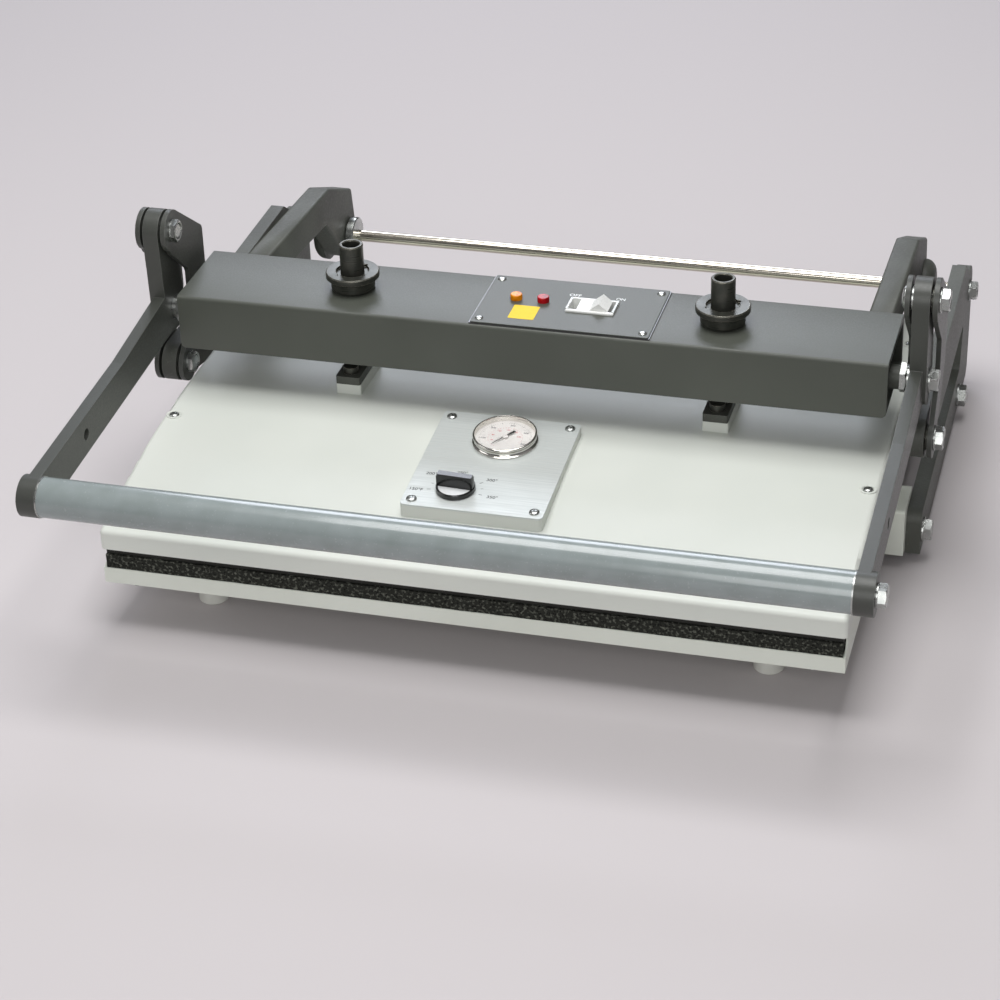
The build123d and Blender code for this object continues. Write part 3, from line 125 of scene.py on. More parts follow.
# ---------------------------------------------------------------- finishes
@dataclass
class Coat:
    """A material's node tree while a finish is painted into it."""

    tree: bpy.types.NodeTree
    place: bpy.types.NodeSocket
    shader: bpy.types.Node

    def set(self, inputs: dict[str, Any]) -> None:
        """Set or link the shader's sockets by name."""
        feed(self.tree, self.shader, inputs)

    def grain(
        self, size_mm: float, stretch: tuple[float, float, float] = (1.0, 1.0, 1.0), detail: float = 2.0
    ) -> bpy.types.NodeSocket:
        """Noise whose features are about size_mm across.

        Args:
            size_mm: the feature size in millimetres.
            stretch: how many times finer the noise is along X, Y and Z.
            detail: octaves of finer noise.

        Returns:
            The noise factor.
        """
        mapped = add_node(self.tree, "ShaderNodeMapping", {"Vector": self.place, "Scale": stretch})
        scale = {"Vector": mapped.outputs["Vector"], "Scale": 1 / MM / size_mm, "Detail": detail}
        return add_node(self.tree, "ShaderNodeTexNoise", scale).outputs["Fac"]

    def tint(
        self, factor: bpy.types.NodeSocket, low: float, high: float, first: Any, second: Any
    ) -> bpy.types.NodeSocket:
        """Blend two colours by a factor that is stretched between low and high.

        Args:
            factor: the pattern that chooses between the colours.
            low: the factor at which the first colour is whole.
            high: the factor at which the second colour is whole.
            first: a hex colour, or the output of another blend.
            second: a hex colour, or the output of another blend.

        Returns:
            The blended colour.
        """
        mask = self.ranged({"Value": factor, "From Min": low, "From Max": high})
        ends = [end if isinstance(end, bpy.types.NodeSocket) else srgb(end) for end in (first, second)]
        sockets = {0: mask, 6: ends[0], 7: ends[1]}
        return add_node(self.tree, "ShaderNodeMix", sockets, data_type="RGBA").outputs[2]

    def ranged(self, inputs: dict[str, Any]) -> bpy.types.NodeSocket:
        """A value carried from one range to another and held inside it."""
        return add_node(self.tree, "ShaderNodeMapRange", inputs, clamp=True).outputs["Result"]

    def rounded(self, reach_mm: float) -> bpy.types.NodeSocket:
        """A normal that rolls round sharp edges within a reach."""
        return add_node(self.tree, "ShaderNodeBevel", {"Radius": reach_mm * MM}, samples=4).outputs["Normal"]

    def edges(self, reach_mm: float) -> bpy.types.NodeSocket:
        """A mask of the edges, where handling wears the finish.

        Args:
            reach_mm: how far the wear runs in from an edge.

        Returns:
            The mask: one on edges, zero on open faces.
        """
        flat = add_node(self.tree, "ShaderNodeNewGeometry").outputs["Normal"]
        normals = {0: self.rounded(reach_mm), 1: flat}
        facing = add_node(self.tree, "ShaderNodeVectorMath", normals, operation="DOT_PRODUCT")
        return self.ranged({"Value": facing.outputs["Value"], "From Min": 0.985, "From Max": 0.85})

    def relief(
        self, height: bpy.types.NodeSocket, depth_mm: float, strength: float, edge_mm: float = 0.0
    ) -> None:
        """Raise and sink the surface by a pattern, through the shader's normal.

        Args:
            height: the pattern.
            depth_mm: how deep the pattern is.
            strength: how much of it shows.
            edge_mm: how far the light rolls round a sharp edge.
        """
        inputs = {"Height": height, "Distance": depth_mm * MM, "Strength": strength}
        if edge_mm:
            inputs["Normal"] = self.rounded(edge_mm)
        self.set({"Normal": add_node(self.tree, "ShaderNodeBump", inputs).outputs["Normal"]})

    def gloss(self, factor: bpy.types.NodeSocket, smooth: float, rough: float) -> None:
        """Let a pattern carry the roughness from smooth, where it is low, to rough, where it is high."""
        span = {"Value": factor, "From Min": 0.3, "From Max": 0.7, "To Min": smooth, "To Max": rough}
        self.set({"Roughness": self.ranged(span)})


@dataclass(frozen=True)
class Finish:
    """What a surface is made of; each kind of finish paints its own nodes."""

    name: str
    colour: str

    def make(self) -> bpy.types.Material:
        """Start a principled material on object coordinates and paint the finish into it."""
        material = bpy.data.materials.new(self.name)
        material.use_nodes = True
        material.diffuse_color = srgb(self.colour)
        tree = material.node_tree
        tree.nodes.clear()
        shader = add_node(tree, "ShaderNodeBsdfPrincipled", {"Base Color": srgb(self.colour)})
        add_node(tree, "ShaderNodeOutputMaterial", {"Surface": shader.outputs["BSDF"]})
        self.paint(Coat(tree, add_node(tree, "ShaderNodeTexCoord").outputs["Object"], shader))
        return material

    def paint(self, coat: Coat) -> None:
        """Add the nodes of this kind of finish."""
        raise NotImplementedError


@dataclass(frozen=True)
class Enamel(Finish):
    """Baked enamel on sheet steel: a pale, even, half-gloss coat with a faint orange peel."""

    shade: str = "#C6C9C2"
    roughness: float = 0.42
    peel_mm: float = 2.6  # real peel is about 1 mm, drawn coarser so that it shows

    def paint(self, coat: Coat) -> None:
        """Enamel whose colour drifts slightly over a hand's width, with peel in its gloss."""
        drift = coat.grain(140.0, detail=3.0)
        speck = coat.grain(1.4, detail=1.0)
        body = coat.tint(drift, 0.3, 0.7, self.colour, self.shade)
        peel = coat.grain(self.peel_mm)
        coat.set({"Base Color": coat.tint(speck, 0.66, 0.9, body, self.shade), "Specular IOR Level": 0.4})
        coat.gloss(peel, self.roughness - 0.05, self.roughness + 0.07)
        coat.relief(peel, 0.05, 0.35)


@dataclass(frozen=True)
class PowderCoat(Finish):
    """Powder coat baked on steel or iron: fine-grained satin, rubbed paler along its edges."""

    worn: str = "#7A7F7E"
    grit_mm: float = 1.1
    depth_mm: float = 0.06
    roughness: float = 0.45
    wear_mm: float = 0.9
    speckle: str = "#6E7473"

    def paint(self, coat: Coat) -> None:
        """Powder coat with its grit in the relief, pale flecks and worn edges."""
        grit = coat.grain(self.grit_mm, detail=3.0)
        body = coat.tint(coat.grain(90.0), 0.2, 0.9, self.colour, self.speckle)
        flecked = coat.tint(grit, 0.58, 0.82, body, self.speckle)
        coat.set({"Base Color": coat.tint(coat.edges(self.wear_mm), 0.0, 1.6, flecked, self.worn)})
        coat.gloss(grit, self.roughness - 0.06, self.roughness + 0.12)
        coat.relief(grit, self.depth_mm, 0.8, self.wear_mm)


@dataclass(frozen=True)
class Metal(Finish):
    """Bare, plated or polished metal, with streaks that run the way it was worked."""

    second: str = "#AEB4B4"
    roughness: float = 0.26
    streak_mm: float = 3.0
    stretch: tuple[float, float, float] = (1.0, 1.0, 1.0)
    scratch_depth_mm: float = 0.002
    metallic: float = 1.0
    edge_mm: float = 0.35

    def paint(self, coat: Coat) -> None:
        """Metal whose tint and gloss follow its working marks."""
        streak = coat.grain(self.streak_mm, self.stretch, detail=3.0)
        body = coat.tint(streak, 0.3, 0.7, self.colour, self.second)
        coat.set({"Base Color": body, "Metallic": self.metallic})
        coat.gloss(streak, self.roughness * 0.75, self.roughness * 1.35)
        coat.relief(streak, self.scratch_depth_mm, 0.5, self.edge_mm)


@dataclass(frozen=True)
class BlackenedSteel(Finish):
    """Turned steel, oil-blackened: nearly black, glossy, and bright where edges have been handled."""

    patch: str = "#4A4A44"
    bright: str = "#C9C2B2"
    ring_mm: float = 1.2
    wear_mm: float = 0.6

    def paint(self, coat: Coat) -> None:
        """Blackened steel with fine turning rings, thin patches and bright rubbed edges."""
        rings = coat.grain(self.ring_mm, (0.05, 0.05, 1.0))
        body = coat.tint(coat.grain(5.0, detail=3.0), 0.35, 0.7, self.colour, self.patch)
        worn = coat.tint(coat.edges(self.wear_mm), 0.1, 1.1, body, self.bright)
        coat.set({"Base Color": worn, "Metallic": 0.6})
        coat.gloss(rings, 0.26, 0.4)
        coat.relief(rings, 0.004, 0.5, self.wear_mm)


@dataclass(frozen=True)
class Moulding(Finish):
    """Injection-moulded plastic: even colour, a soft gloss and a faint moulded texture."""

    shade: str = "#101112"
    roughness: float = 0.35
    texture_mm: float = 1.0
    coat_weight: float = 0.0

    def paint(self, coat: Coat) -> None:
        """Moulded plastic with a little unevenness in its gloss."""
        texture = coat.grain(self.texture_mm)
        body = coat.tint(coat.grain(18.0), 0.3, 0.75, self.colour, self.shade)
        coat.set({"Base Color": body, "Coat Weight": self.coat_weight, "Coat Roughness": 0.08})
        coat.gloss(texture, self.roughness - 0.06, self.roughness + 0.06)
        coat.relief(texture, 0.01, 0.4)


@dataclass(frozen=True)
class OpenCellFoam(Finish):
    """Sponge rubber cut from a block: charcoal, matt, peppered with open cells darkened by painted shade, and
    pale crumbs.
    """

    crumb: str = "#62645C"
    # near-black painted shade in the middle of each open cell
    painted_pit_shade: str = "#0B0B0A"
    cell_mm: float = 2.0  # real cells are about 1 mm, drawn coarser so that they show

    def paint(self, coat: Coat) -> None:
        """Foam whose cells are sunk in its relief and darkened with painted shade in its colour, with pale
        crumbs in its colour.
        """
        size = {"Vector": coat.place, "Scale": 1 / MM / self.cell_mm}
        cells = add_node(coat.tree, "ShaderNodeTexVoronoi", size).outputs["Distance"]
        crumbs = coat.grain(self.cell_mm * 1.3, detail=3.0)
        # painted shade: the colour darkens towards each cell's sunken middle
        cells_with_painted_shade = coat.tint(cells, 0.12, 0.45, self.painted_pit_shade, self.colour)
        coat.set({"Base Color": coat.tint(crumbs, 0.52, 0.68, cells_with_painted_shade, self.crumb)})
        coat.set({"Roughness": 0.95, "Specular IOR Level": 0.15})
        coat.relief(cells, 0.6, 0.9)


@dataclass(frozen=True)
class Lens(Finish):
    """Tinted acrylic lens over a lamp: glossy, deeper in colour where it is thick."""

    deep: str = "#8A2A00"
    glow: float = 0.05

    def paint(self, coat: Coat) -> None:
        """Tinted acrylic that passes some light and holds its own colour."""
        body = coat.tint(coat.grain(6.0), 0.42, 0.75, self.colour, self.deep)
        coat.set({"Base Color": body, "Emission Color": body, "Emission Strength": self.glow})
        coat.set({"Roughness": 0.16, "Transmission Weight": 0.15, "Specular IOR Level": 0.2})


@dataclass(frozen=True)
class WindowGlass(Finish):
    """Flat glass over a dial: clear, with a trace of handling in its gloss."""

    def paint(self, coat: Coat) -> None:
        """Glass thin enough that the dial below it stays bright."""
        coat.gloss(coat.grain(16.0, detail=3.0), 0.02, 0.09)
        coat.set({"Transmission Weight": 1.0, "IOR": 1.5, "Alpha": 0.14})


@dataclass(frozen=True)
class Print(Finish):
    """Screen-printed ink: opaque and matt, a little thin in places."""

    thin: str = "#3A3A3A"

    def paint(self, coat: Coat) -> None:
        """Ink whose density wanders over a few millimetres."""
        density = coat.tint(coat.grain(3.0), 0.5, 0.85, self.colour, self.thin)
        coat.set({"Base Color": density, "Roughness": 0.6})


@dataclass(frozen=True)
class Felt(Finish):
    """Pressed mineral felt: matt and fibrous."""

    fibre: str = "#B9AD90"

    def paint(self, coat: Coat) -> None:
        """Felt with its fibres lying mostly along the sheet."""
        fibres = coat.grain(3.0, (0.3, 1.6, 1.0), detail=4.0)
        coat.set({"Base Color": coat.tint(fibres, 0.35, 0.65, self.colour, self.fibre), "Roughness": 0.95})
        coat.relief(fibres, 0.4, 0.8)


class Surface(Enum):
    """The finishes of the press, by what they are used for."""

    COVER = Enamel("cover_baked_enamel", "#D5D8D1", shade="#CDD1CA")
    TRAY = Enamel("tray_baked_enamel", "#DADED5", shade="#D1D5CB", roughness=0.45)
    BEAM = PowderCoat("beam_satin_powder_coat", "#43463F", speckle="#4C4F48", worn="#6E7270", roughness=0.4)
    CASTING = PowderCoat(
        "casting_textured_powder_coat",
        "#2F302B",
        worn="#6B6D66",
        grit_mm=2.4,
        depth_mm=0.22,
        roughness=0.5,
        speckle="#5B5E57",
    )
    LINK = PowderCoat("link_black_powder_coat", "#373935", worn="#777974", roughness=0.38, speckle="#444641")
    GRIP = Moulding(
        "grip_grey_lacquer", "#8A9393", shade="#808988", roughness=0.22, texture_mm=2.0, coat_weight=0.5
    )
    BLACKENED = BlackenedSteel("oil_blackened_steel", "#3E403B")
    ZINC = Metal("bright_zinc_plate", "#B9BBB7", second="#A9ACAA", roughness=0.26, streak_mm=12.0)
    ROD = Metal(
        "ground_steel_rod",
        "#D9D3C6",
        second="#BDB6A8",
        roughness=0.14,
        streak_mm=6.0,
        stretch=(0.05, 1.0, 1.0),
        scratch_depth_mm=0.0003,
    )
    CHROME = Metal("polished_chrome", "#E4E2DD", second="#D3D0C9", roughness=0.09, streak_mm=9.0)
    # near-black so that the platen's rim gives the dark line under the cover's edge: this darkness is partly
    # painted shadow
    PLATEN = Metal(
        "dark_platen_painted_shadow",
        "#1D1D1A",
        second="#252521",
        roughness=0.5,
        streak_mm=2.0,
        stretch=(0.1, 1.0, 1.0),
        metallic=0.3,
    )
    PLATE = Metal(
        "brushed_anodised_aluminium",
        "#CFD3D0",
        second="#C3C8C6",
        roughness=0.42,
        streak_mm=1.2,
        stretch=(0.03, 1.0, 1.0),
        metallic=0.3,
    )
    HEATER = Metal("sheathed_heater_steel", "#6E675C", second="#4F4A44", roughness=0.45)
    FELT = Felt("mineral_felt", "#A89C7E")
    FOAM = OpenCellFoam("open_cell_sponge", "#292A26")
    NYLON = Moulding("moulded_white_nylon", "#DADBD4", shade="#CFD0C8", roughness=0.5)
    BLACK_PLASTIC = Moulding("black_abs", "#0D0E0E", shade="#161818", roughness=0.22, coat_weight=0.4)
    WHITE_PLASTIC = Moulding("white_polycarbonate", "#E3E4E1", shade="#D9DAD7", roughness=0.3)
    DIAL = Moulding("dial_white_enamel", "#E9E6E2", shade="#DDD9D6", roughness=0.55)
    GLASS = WindowGlass("dial_glass", "#FFFFFF")
    AMBER = Lens("amber_acrylic", "#E48E08", deep="#AC5200")
    RED = Lens("red_acrylic", "#AE0A18", deep="#5C0007")
    BLACK_INK = Print("black_print", "#26272A", thin="#4A4B4E")
    RED_INK = Print("red_print", "#C0404A", thin="#CF7078")
    WHITE_INK = Print("white_print", "#E8EAEA", thin="#C9CDCE")
    LABEL = Print("yellow_vinyl_label", "#E6C21A", thin="#DBB818")
    SILVER = Metal(
        "silver_painted_insert", "#E2E4E4", second="#D2D5D6", roughness=0.35, streak_mm=5.0, metallic=0.15
    )

    def material(self) -> bpy.types.Material:
        """The finish's material, made once."""
        found = bpy.data.materials.get(self.value.name)
        return found if found else self.value.make()


SLOT_SURFACES = {
    "cover_enamel": Surface.COVER,
    "tray_enamel": Surface.TRAY,
    "grey_enamel": Surface.BEAM,
    "textured_black": Surface.CASTING,
    "handle_black": Surface.LINK,
    "grip_grey": Surface.GRIP,
    "blackened_steel": Surface.BLACKENED,
    "zinc_steel": Surface.ZINC,
    "polished_rod": Surface.ROD,
    "bright_steel": Surface.CHROME,
    "platen_aluminium": Surface.PLATEN,
    "plate_aluminium": Surface.PLATE,
    "sponge_rubber": Surface.FOAM,
    "white_nylon": Surface.NYLON,
    "heater_steel": Surface.HEATER,
    "insulation_felt": Surface.FELT,
    "dial_white": Surface.DIAL,
    "glass": Surface.GLASS,
    "black_plastic": Surface.BLACK_PLASTIC,
    "switch_white": Surface.WHITE_PLASTIC,
    "amber_lens": Surface.AMBER,
    "red_lens": Surface.RED,
}


# ---------------------------------------------------------------- bench
@dataclass(frozen=True)
class Solid:
    """The box of one plain solid in millimetres, for the piece that stands in its place."""

    low: Vector
    high: Vector

    @property
    def middle(self) -> Vector:
        """Its centre."""
        return (self.low + self.high) / 2

    @property
    def length(self) -> float:
        """Its length along X."""
        return self.high.x - self.low.x

    @property
    def side(self) -> int:
        """1 on the right of the press, -1 on the left."""
        return 1 if self.low.x > 0 else -1

    @property
    def inner(self) -> float:
        """Where it ends towards the middle of the press."""
        return self.low.x if self.side > 0 else self.high.x

    @property
    def outer(self) -> float:
        """Where it ends away from the middle of the press."""
        return self.high.x if self.side > 0 else self.low.x


class Bench:
    """Modelling steps on the active object, as done by hand."""

    @staticmethod
    def clear() -> None:
        """Leave edit mode and deselect everything."""
        if bpy.context.object and bpy.context.object.mode != "OBJECT":
            bpy.ops.object.mode_set(mode="OBJECT")
        bpy.ops.object.select_all(action="DESELECT")

    @staticmethod
    def take(piece: bpy.types.Object) -> None:
        """Make one object the only selected and active one."""
        Bench.clear()
        piece.select_set(True)
        bpy.context.view_layer.objects.active = piece

    @staticmethod
    def box(size: Sequence[float], middle: Sequence[float] = (0, 0, 0)) -> bpy.types.Object:
        """Start a piece from a box.

        Args:
            size: its X, Y and Z lengths in millimetres.
            middle: its centre in millimetres.

        Returns:
            The new object, with its size in its mesh.
        """
        Bench.clear()
        bpy.ops.mesh.primitive_cube_add(size=1.0)
        piece = bpy.context.object
        piece.scale = [length * MM for length in size]
        piece.location = [place * MM for place in middle]
        bpy.ops.object.transform_apply(location=True, rotation=True, scale=True)
        return piece

    @staticmethod
    def round(
        radius: float, low: float, high: float, middle: Sequence[float] = (0, 0), sides: int = 64
    ) -> bpy.types.Object:
        """Start a piece from a disc or bar that stands along Z.

        Args:
            radius: its radius in millimetres.
            low: the level of its foot.
            high: the level of its top.
            middle: its centre in X and Y.
            sides: how many facets it has round it.

        Returns:
            The new object, with its size in its mesh.
        """
        Bench.clear()
        bpy.ops.mesh.primitive_cylinder_add(
            vertices=sides,
            radius=radius * MM,
            depth=(high - low) * MM,
            location=(middle[0] * MM, middle[1] * MM, (low + high) / 2 * MM),
        )
        bpy.ops.object.transform_apply(location=True, rotation=True, scale=True)
        return bpy.context.object

    @staticmethod
    @contextmanager
    def editing(piece: bpy.types.Object) -> Iterator[None]:
        """Edit mode on a piece, with all of it selected by its edges."""
        Bench.take(piece)
        bpy.ops.object.mode_set(mode="EDIT")
        bpy.ops.mesh.select_mode(type="EDGE")
        bpy.ops.mesh.select_all(action="SELECT")
        yield
        bpy.ops.object.mode_set(mode="OBJECT")

    @staticmethod
    def pick_edges(piece: bpy.types.Object, test: Callable[[Vector, Vector], bool]) -> None:
        """Go to edit mode with only the edges that a test accepts selected.

        Args:
            piece: the object.
            test: takes an edge's two ends in millimetres.
        """
        Bench.take(piece)
        bpy.ops.object.mode_set(mode="EDIT")
        bpy.ops.mesh.select_mode(type="EDGE")
        bpy.ops.mesh.select_all(action="DESELECT")
        bpy.ops.object.mode_set(mode="OBJECT")
        points = piece.data.vertices
        for edge in piece.data.edges:
            first, second = (points[index].co / MM for index in edge.vertices)
            edge.select = test(first, second)
        bpy.ops.object.mode_set(mode="EDIT")

    @staticmethod
    def bevel(width: float, segments: int = 2) -> None:
        """Round the selected edges by a width in millimetres."""
        bpy.ops.mesh.bevel(offset=width * MM, segments=segments, affect="EDGES")
        bpy.ops.object.mode_set(mode="OBJECT")

    @staticmethod
    def modify(piece: bpy.types.Object, kind: str, **settings: Any) -> None:
        """Add a modifier with its settings and apply it."""
        Bench.take(piece)
        modifier = piece.modifiers.new(kind.lower(), kind)
        for name, value in settings.items():
            setattr(modifier, name, value)
        bpy.ops.object.modifier_apply(modifier=modifier.name)

    @staticmethod
    def cut(piece: bpy.types.Object, tool: bpy.types.Object, how: str = "DIFFERENCE") -> None:
        """Cut one object with another and throw the tool away."""
        Bench.modify(piece, "BOOLEAN", object=tool, operation=how, solver="EXACT")
        bpy.data.objects.remove(tool)

    @staticmethod
    def join(pieces: Sequence[bpy.types.Object]) -> bpy.types.Object:
        """Join several objects into the first one and return it."""
        Bench.clear()
        for piece in pieces:
            piece.select_set(True)
        bpy.context.view_layer.objects.active = pieces[0]
        bpy.ops.object.join()
        return pieces[0]

    @staticmethod
    def copy(piece: bpy.types.Object, place: Matrix) -> bpy.types.Object:
        """A copy with its own mesh, placed by a matrix."""
        twin = bpy.data.objects.new(piece.name, piece.data.copy())
        bpy.context.scene.collection.objects.link(twin)
        twin.data.transform(place)
        return twin

    @staticmethod
    def turned(
        profile: Sequence[tuple[float, float]], sides: int = 64, ring: bool = False
    ) -> bpy.types.Object:
        """A piece turned about Z, drawn as its profile from the foot upwards.

        Args:
            profile: (radius, level) points in millimetres.
            sides: how many facets it has round it.
            ring: True where the last point joins the first round a bore.

        Returns:
            The new object.
        """
        Bench.clear()
        radius, level = profile[0]
        bpy.ops.mesh.primitive_circle_add(
            vertices=sides,
            radius=radius * MM,
            location=(0, 0, level * MM),
            fill_type="NOTHING" if ring else "NGON",
        )
        bpy.ops.object.transform_apply(location=True, rotation=True, scale=True)
        piece = bpy.context.object
        with Bench.editing(piece):
            for next_radius, next_level in [*profile[1:], *(profile[:1] if ring else ())]:
                bpy.ops.mesh.extrude_edges_move(
                    TRANSFORM_OT_translate={"value": (0, 0, (next_level - level) * MM)}
                )
                scale = next_radius / radius
                bpy.ops.transform.resize(value=(scale, scale, 1.0), center_override=(0, 0, next_level * MM))
                radius, level = next_radius, next_level
            if not ring:
                bpy.ops.mesh.edge_face_add()
            bpy.ops.mesh.select_all(action="SELECT")
            bpy.ops.mesh.remove_doubles(threshold=0.001 * MM)
            bpy.ops.mesh.normals_make_consistent(inside=False)
        return piece

    @staticmethod
    def loose_solids(node: bpy.types.Object) -> list[Solid]:
        """The separate solids of a carried-over node, from left to right."""
        twin = Bench.copy(node, Matrix.Identity(4))
        with Bench.editing(twin):
            bpy.ops.mesh.remove_doubles(threshold=0.01 * MM)
            bpy.ops.mesh.separate(type="LOOSE")
        solids = []
        for part in list(bpy.context.selected_objects):
            points = [vertex.co / MM for vertex in part.data.vertices]
            low = Vector([min(point[axis] for point in points) for axis in range(3)])
            high = Vector([max(point[axis] for point in points) for axis in range(3)])
            solids.append(Solid(low, high))
            bpy.data.objects.remove(part)
        return sorted(solids, key=lambda solid: tuple(solid.low))

    @staticmethod
    def words(
        text: str, height: float, middle: Sequence[float], lift: float = 0.0, width: Optional[float] = None
    ) -> bpy.types.Object:
        """Flat lettering as a mesh in the XY plane.

        Args:
            text: what it says.
            height: the height of a capital in millimetres.
            middle: the centre of the words.
            lift: their level above the plane.
            width: how wide the words are, or None for the letters' own width.

        Returns:
            The lettering, as a mesh.
        """
        Bench.clear()
        bpy.ops.object.text_add()
        letters = bpy.context.object
        letters.data.body = text
        letters.data.size = height / 0.7 * MM
        letters.data.align_x = "CENTER"
        letters.data.align_y = "CENTER"
        letters.data.extrude = 0.02 * MM
        letters.data.offset = 0.04 * MM
        bpy.ops.object.convert(target="MESH")
        letters = bpy.context.object
        if width is not None:
            letters.scale.x = width * MM / letters.dimensions.x
        letters.location = (middle[0] * MM, middle[1] * MM, lift * MM)
        bpy.ops.object.transform_apply(location=True, rotation=True, scale=True)
        return letters

    @staticmethod
    def hand_over(
        piece: bpy.types.Object,
        name: str,
        surface: Surface,
        body: str,
        slot: str,
        place: Optional[Matrix] = None,
        replaces: Sequence[str] = (),
        smooth: float = 30.0,
    ) -> bpy.types.Object:
        """Name, place, finish and fix a piece to the body that carries it.

        Args:
            piece: the finished mesh.
            name: what the piece is.
            surface: its finish.
            body: the moving body it rides on.
            slot: the record's material slot; not used.
            place: where its local frame goes, or None where it is already in place.
            replaces: the nodes that it stands for.
            smooth: the angle in degrees under which facets are shaded round.

        Returns:
            The piece.
        """
        piece.name = name
        piece.data.name = name
        if place is not None:
            piece.data.transform(place)
        Bench.take(piece)
        bpy.ops.object.shade_smooth_by_angle(angle=radians(smooth))
        piece.data.materials.clear()
        piece.data.materials.append(surface.material())
        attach(piece, body)
        if replaces:
            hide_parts(*replaces)
        log.info("%s: %d faces, rides on %s", name, len(piece.data.polygons), body)
        return piece


# ---------------------------------------------------------------- studio
@dataclass
class Studio:
    """Pale floor, plain soft lamps and the camera."""

    floor_size: float = 40000.0
    floor_colour: str = "#C3BEBF"
    # each lamp's name, place, aim, side length, power and colour
    lamps: tuple[tuple[Any, ...], ...] = (
        ("key", (0.0, -100.0, 2300.0), (0.0, -50.0, 100.0), 1500.0, 46.0, "#FFFFFF"),
        ("rear", (-680.0, 2500.0, 1850.0), (0.0, 0.0, 120.0), 1400.0, 34.0, "#EEF3FF"),
        ("left", (-2300.0, -900.0, 1500.0), (0.0, -50.0, 120.0), 1400.0, 9.0, "#FFFFFF"),
        ("front", (500.0, -2700.0, 1300.0), (0.0, 0.0, 120.0), 1600.0, 30.0, "#FFFFFF"),
    )
    horizon: str = "#8A8788"
    zenith: str = "#C9C8C9"
    room_strength: float = 0.45
    camera_place: tuple[float, float, float] = (520.52, -1927.42, 1203.55)
    yaw: float = -16.0824
    pitch: float = 29.8647
    roll: float = -1.9460
    lens: float = 97.370
    shift_up: float = -0.04

    def build(self) -> None:
        """Lay the floor, hang the lamps and set the camera and the view."""
        self.lay_floor()
        for lamp in self.lamps:
            self.hang(*lamp)
        self.light_room()
        self.set_camera()
        bpy.context.scene.view_settings.view_transform = "Standard"

    def lay_floor(self) -> None:
        """One sheet of pale paper under the press."""
        Bench.clear()
        bpy.ops.mesh.primitive_plane_add(size=self.floor_size * MM)
        floor = bpy.context.object
        floor.name = "studio_floor"
        paper = bpy.data.materials.new("studio_paper")
        paper.use_nodes = True
        tree = paper.node_tree
        look = {"Roughness": 0.9, "Specular IOR Level": 0.1, "Base Color": srgb(self.floor_colour)}
        feed(tree, tree.nodes["Principled BSDF"], look)
        floor.data.materials.append(paper)

    @staticmethod
    def hang(
        name: str, place: Sequence[float], aim: Sequence[float], size: float, watts: float, colour: str
    ) -> None:
        """Hang a square soft lamp that faces a point."""
        data = bpy.data.lights.new(f"studio_{name}", "AREA")
        data.shape = "SQUARE"
        data.size = size * MM
        data.energy = watts
        data.color = srgb(colour)[:3]
        lamp = bpy.data.objects.new(data.name, data)
        bpy.context.scene.collection.objects.link(lamp)
        lamp.location = Vector(place) * MM
        lamp.rotation_euler = (Vector(aim) - Vector(place)).to_track_quat("-Z", "Y").to_euler()

    def light_room(self) -> None:
        """A dim room that is paler overhead than at the horizon."""
        world = bpy.data.worlds.new("studio_room")
        bpy.context.scene.world = world
        world.use_nodes = True
        tree = world.node_tree
        tree.nodes.clear()
        direction = add_node(tree, "ShaderNodeTexCoord").outputs["Generated"]
        height = add_node(tree, "ShaderNodeSeparateXYZ", {"Vector": direction}).outputs["Z"]
        stops = ((0.0, srgb(self.horizon)), (1.0, srgb(self.zenith)))
        sky = add_node(tree, "ShaderNodeValToRGB", {"Fac": height}, ramp=stops).outputs["Color"]
        room = add_node(tree, "ShaderNodeBackground", {"Color": sky, "Strength": self.room_strength})
        add_node(tree, "ShaderNodeOutputWorld", {"Surface": room.outputs["Background"]})

    def set_camera(self) -> None:
        """Place the camera from its yaw, pitch and roll."""
        data = bpy.data.cameras.new("studio_camera")
        data.sensor_width = 36.0
        data.lens = self.lens
        data.shift_y = self.shift_up
        data.clip_end = 50.0
        camera = bpy.data.objects.new("studio_camera", data)
        bpy.context.scene.collection.objects.link(camera)
        yaw, pitch, roll = radians(self.yaw), radians(self.pitch), radians(self.roll)
        ahead = Vector((sin(yaw) * cos(pitch), cos(yaw) * cos(pitch), -sin(pitch)))
        level = Vector((cos(yaw), -sin(yaw), 0.0))
        upright = level.cross(ahead)
        right = level * cos(roll) + upright * sin(roll)
        up = -level * sin(roll) + upright * cos(roll)
        turn = Matrix((right, up, -ahead)).transposed()
        camera.matrix_world = Matrix.Translation(Vector(self.camera_place) * MM) @ turn.to_4x4()
        bpy.context.scene.camera = camera


# ---------------------------------------------------------------- carried-over nodes
def dress(nodes: dict[str, bpy.types.Object]) -> None:
    """Put the finish that each slot calls for on every carried-over node."""
    for name, node in nodes.items():
        for slot in node.material_slots:
            wanted = slot.material.name.split(".")[0]
            slot.material = SLOT_SURFACES[wanted].material()
        log.info("%s: finished", name)


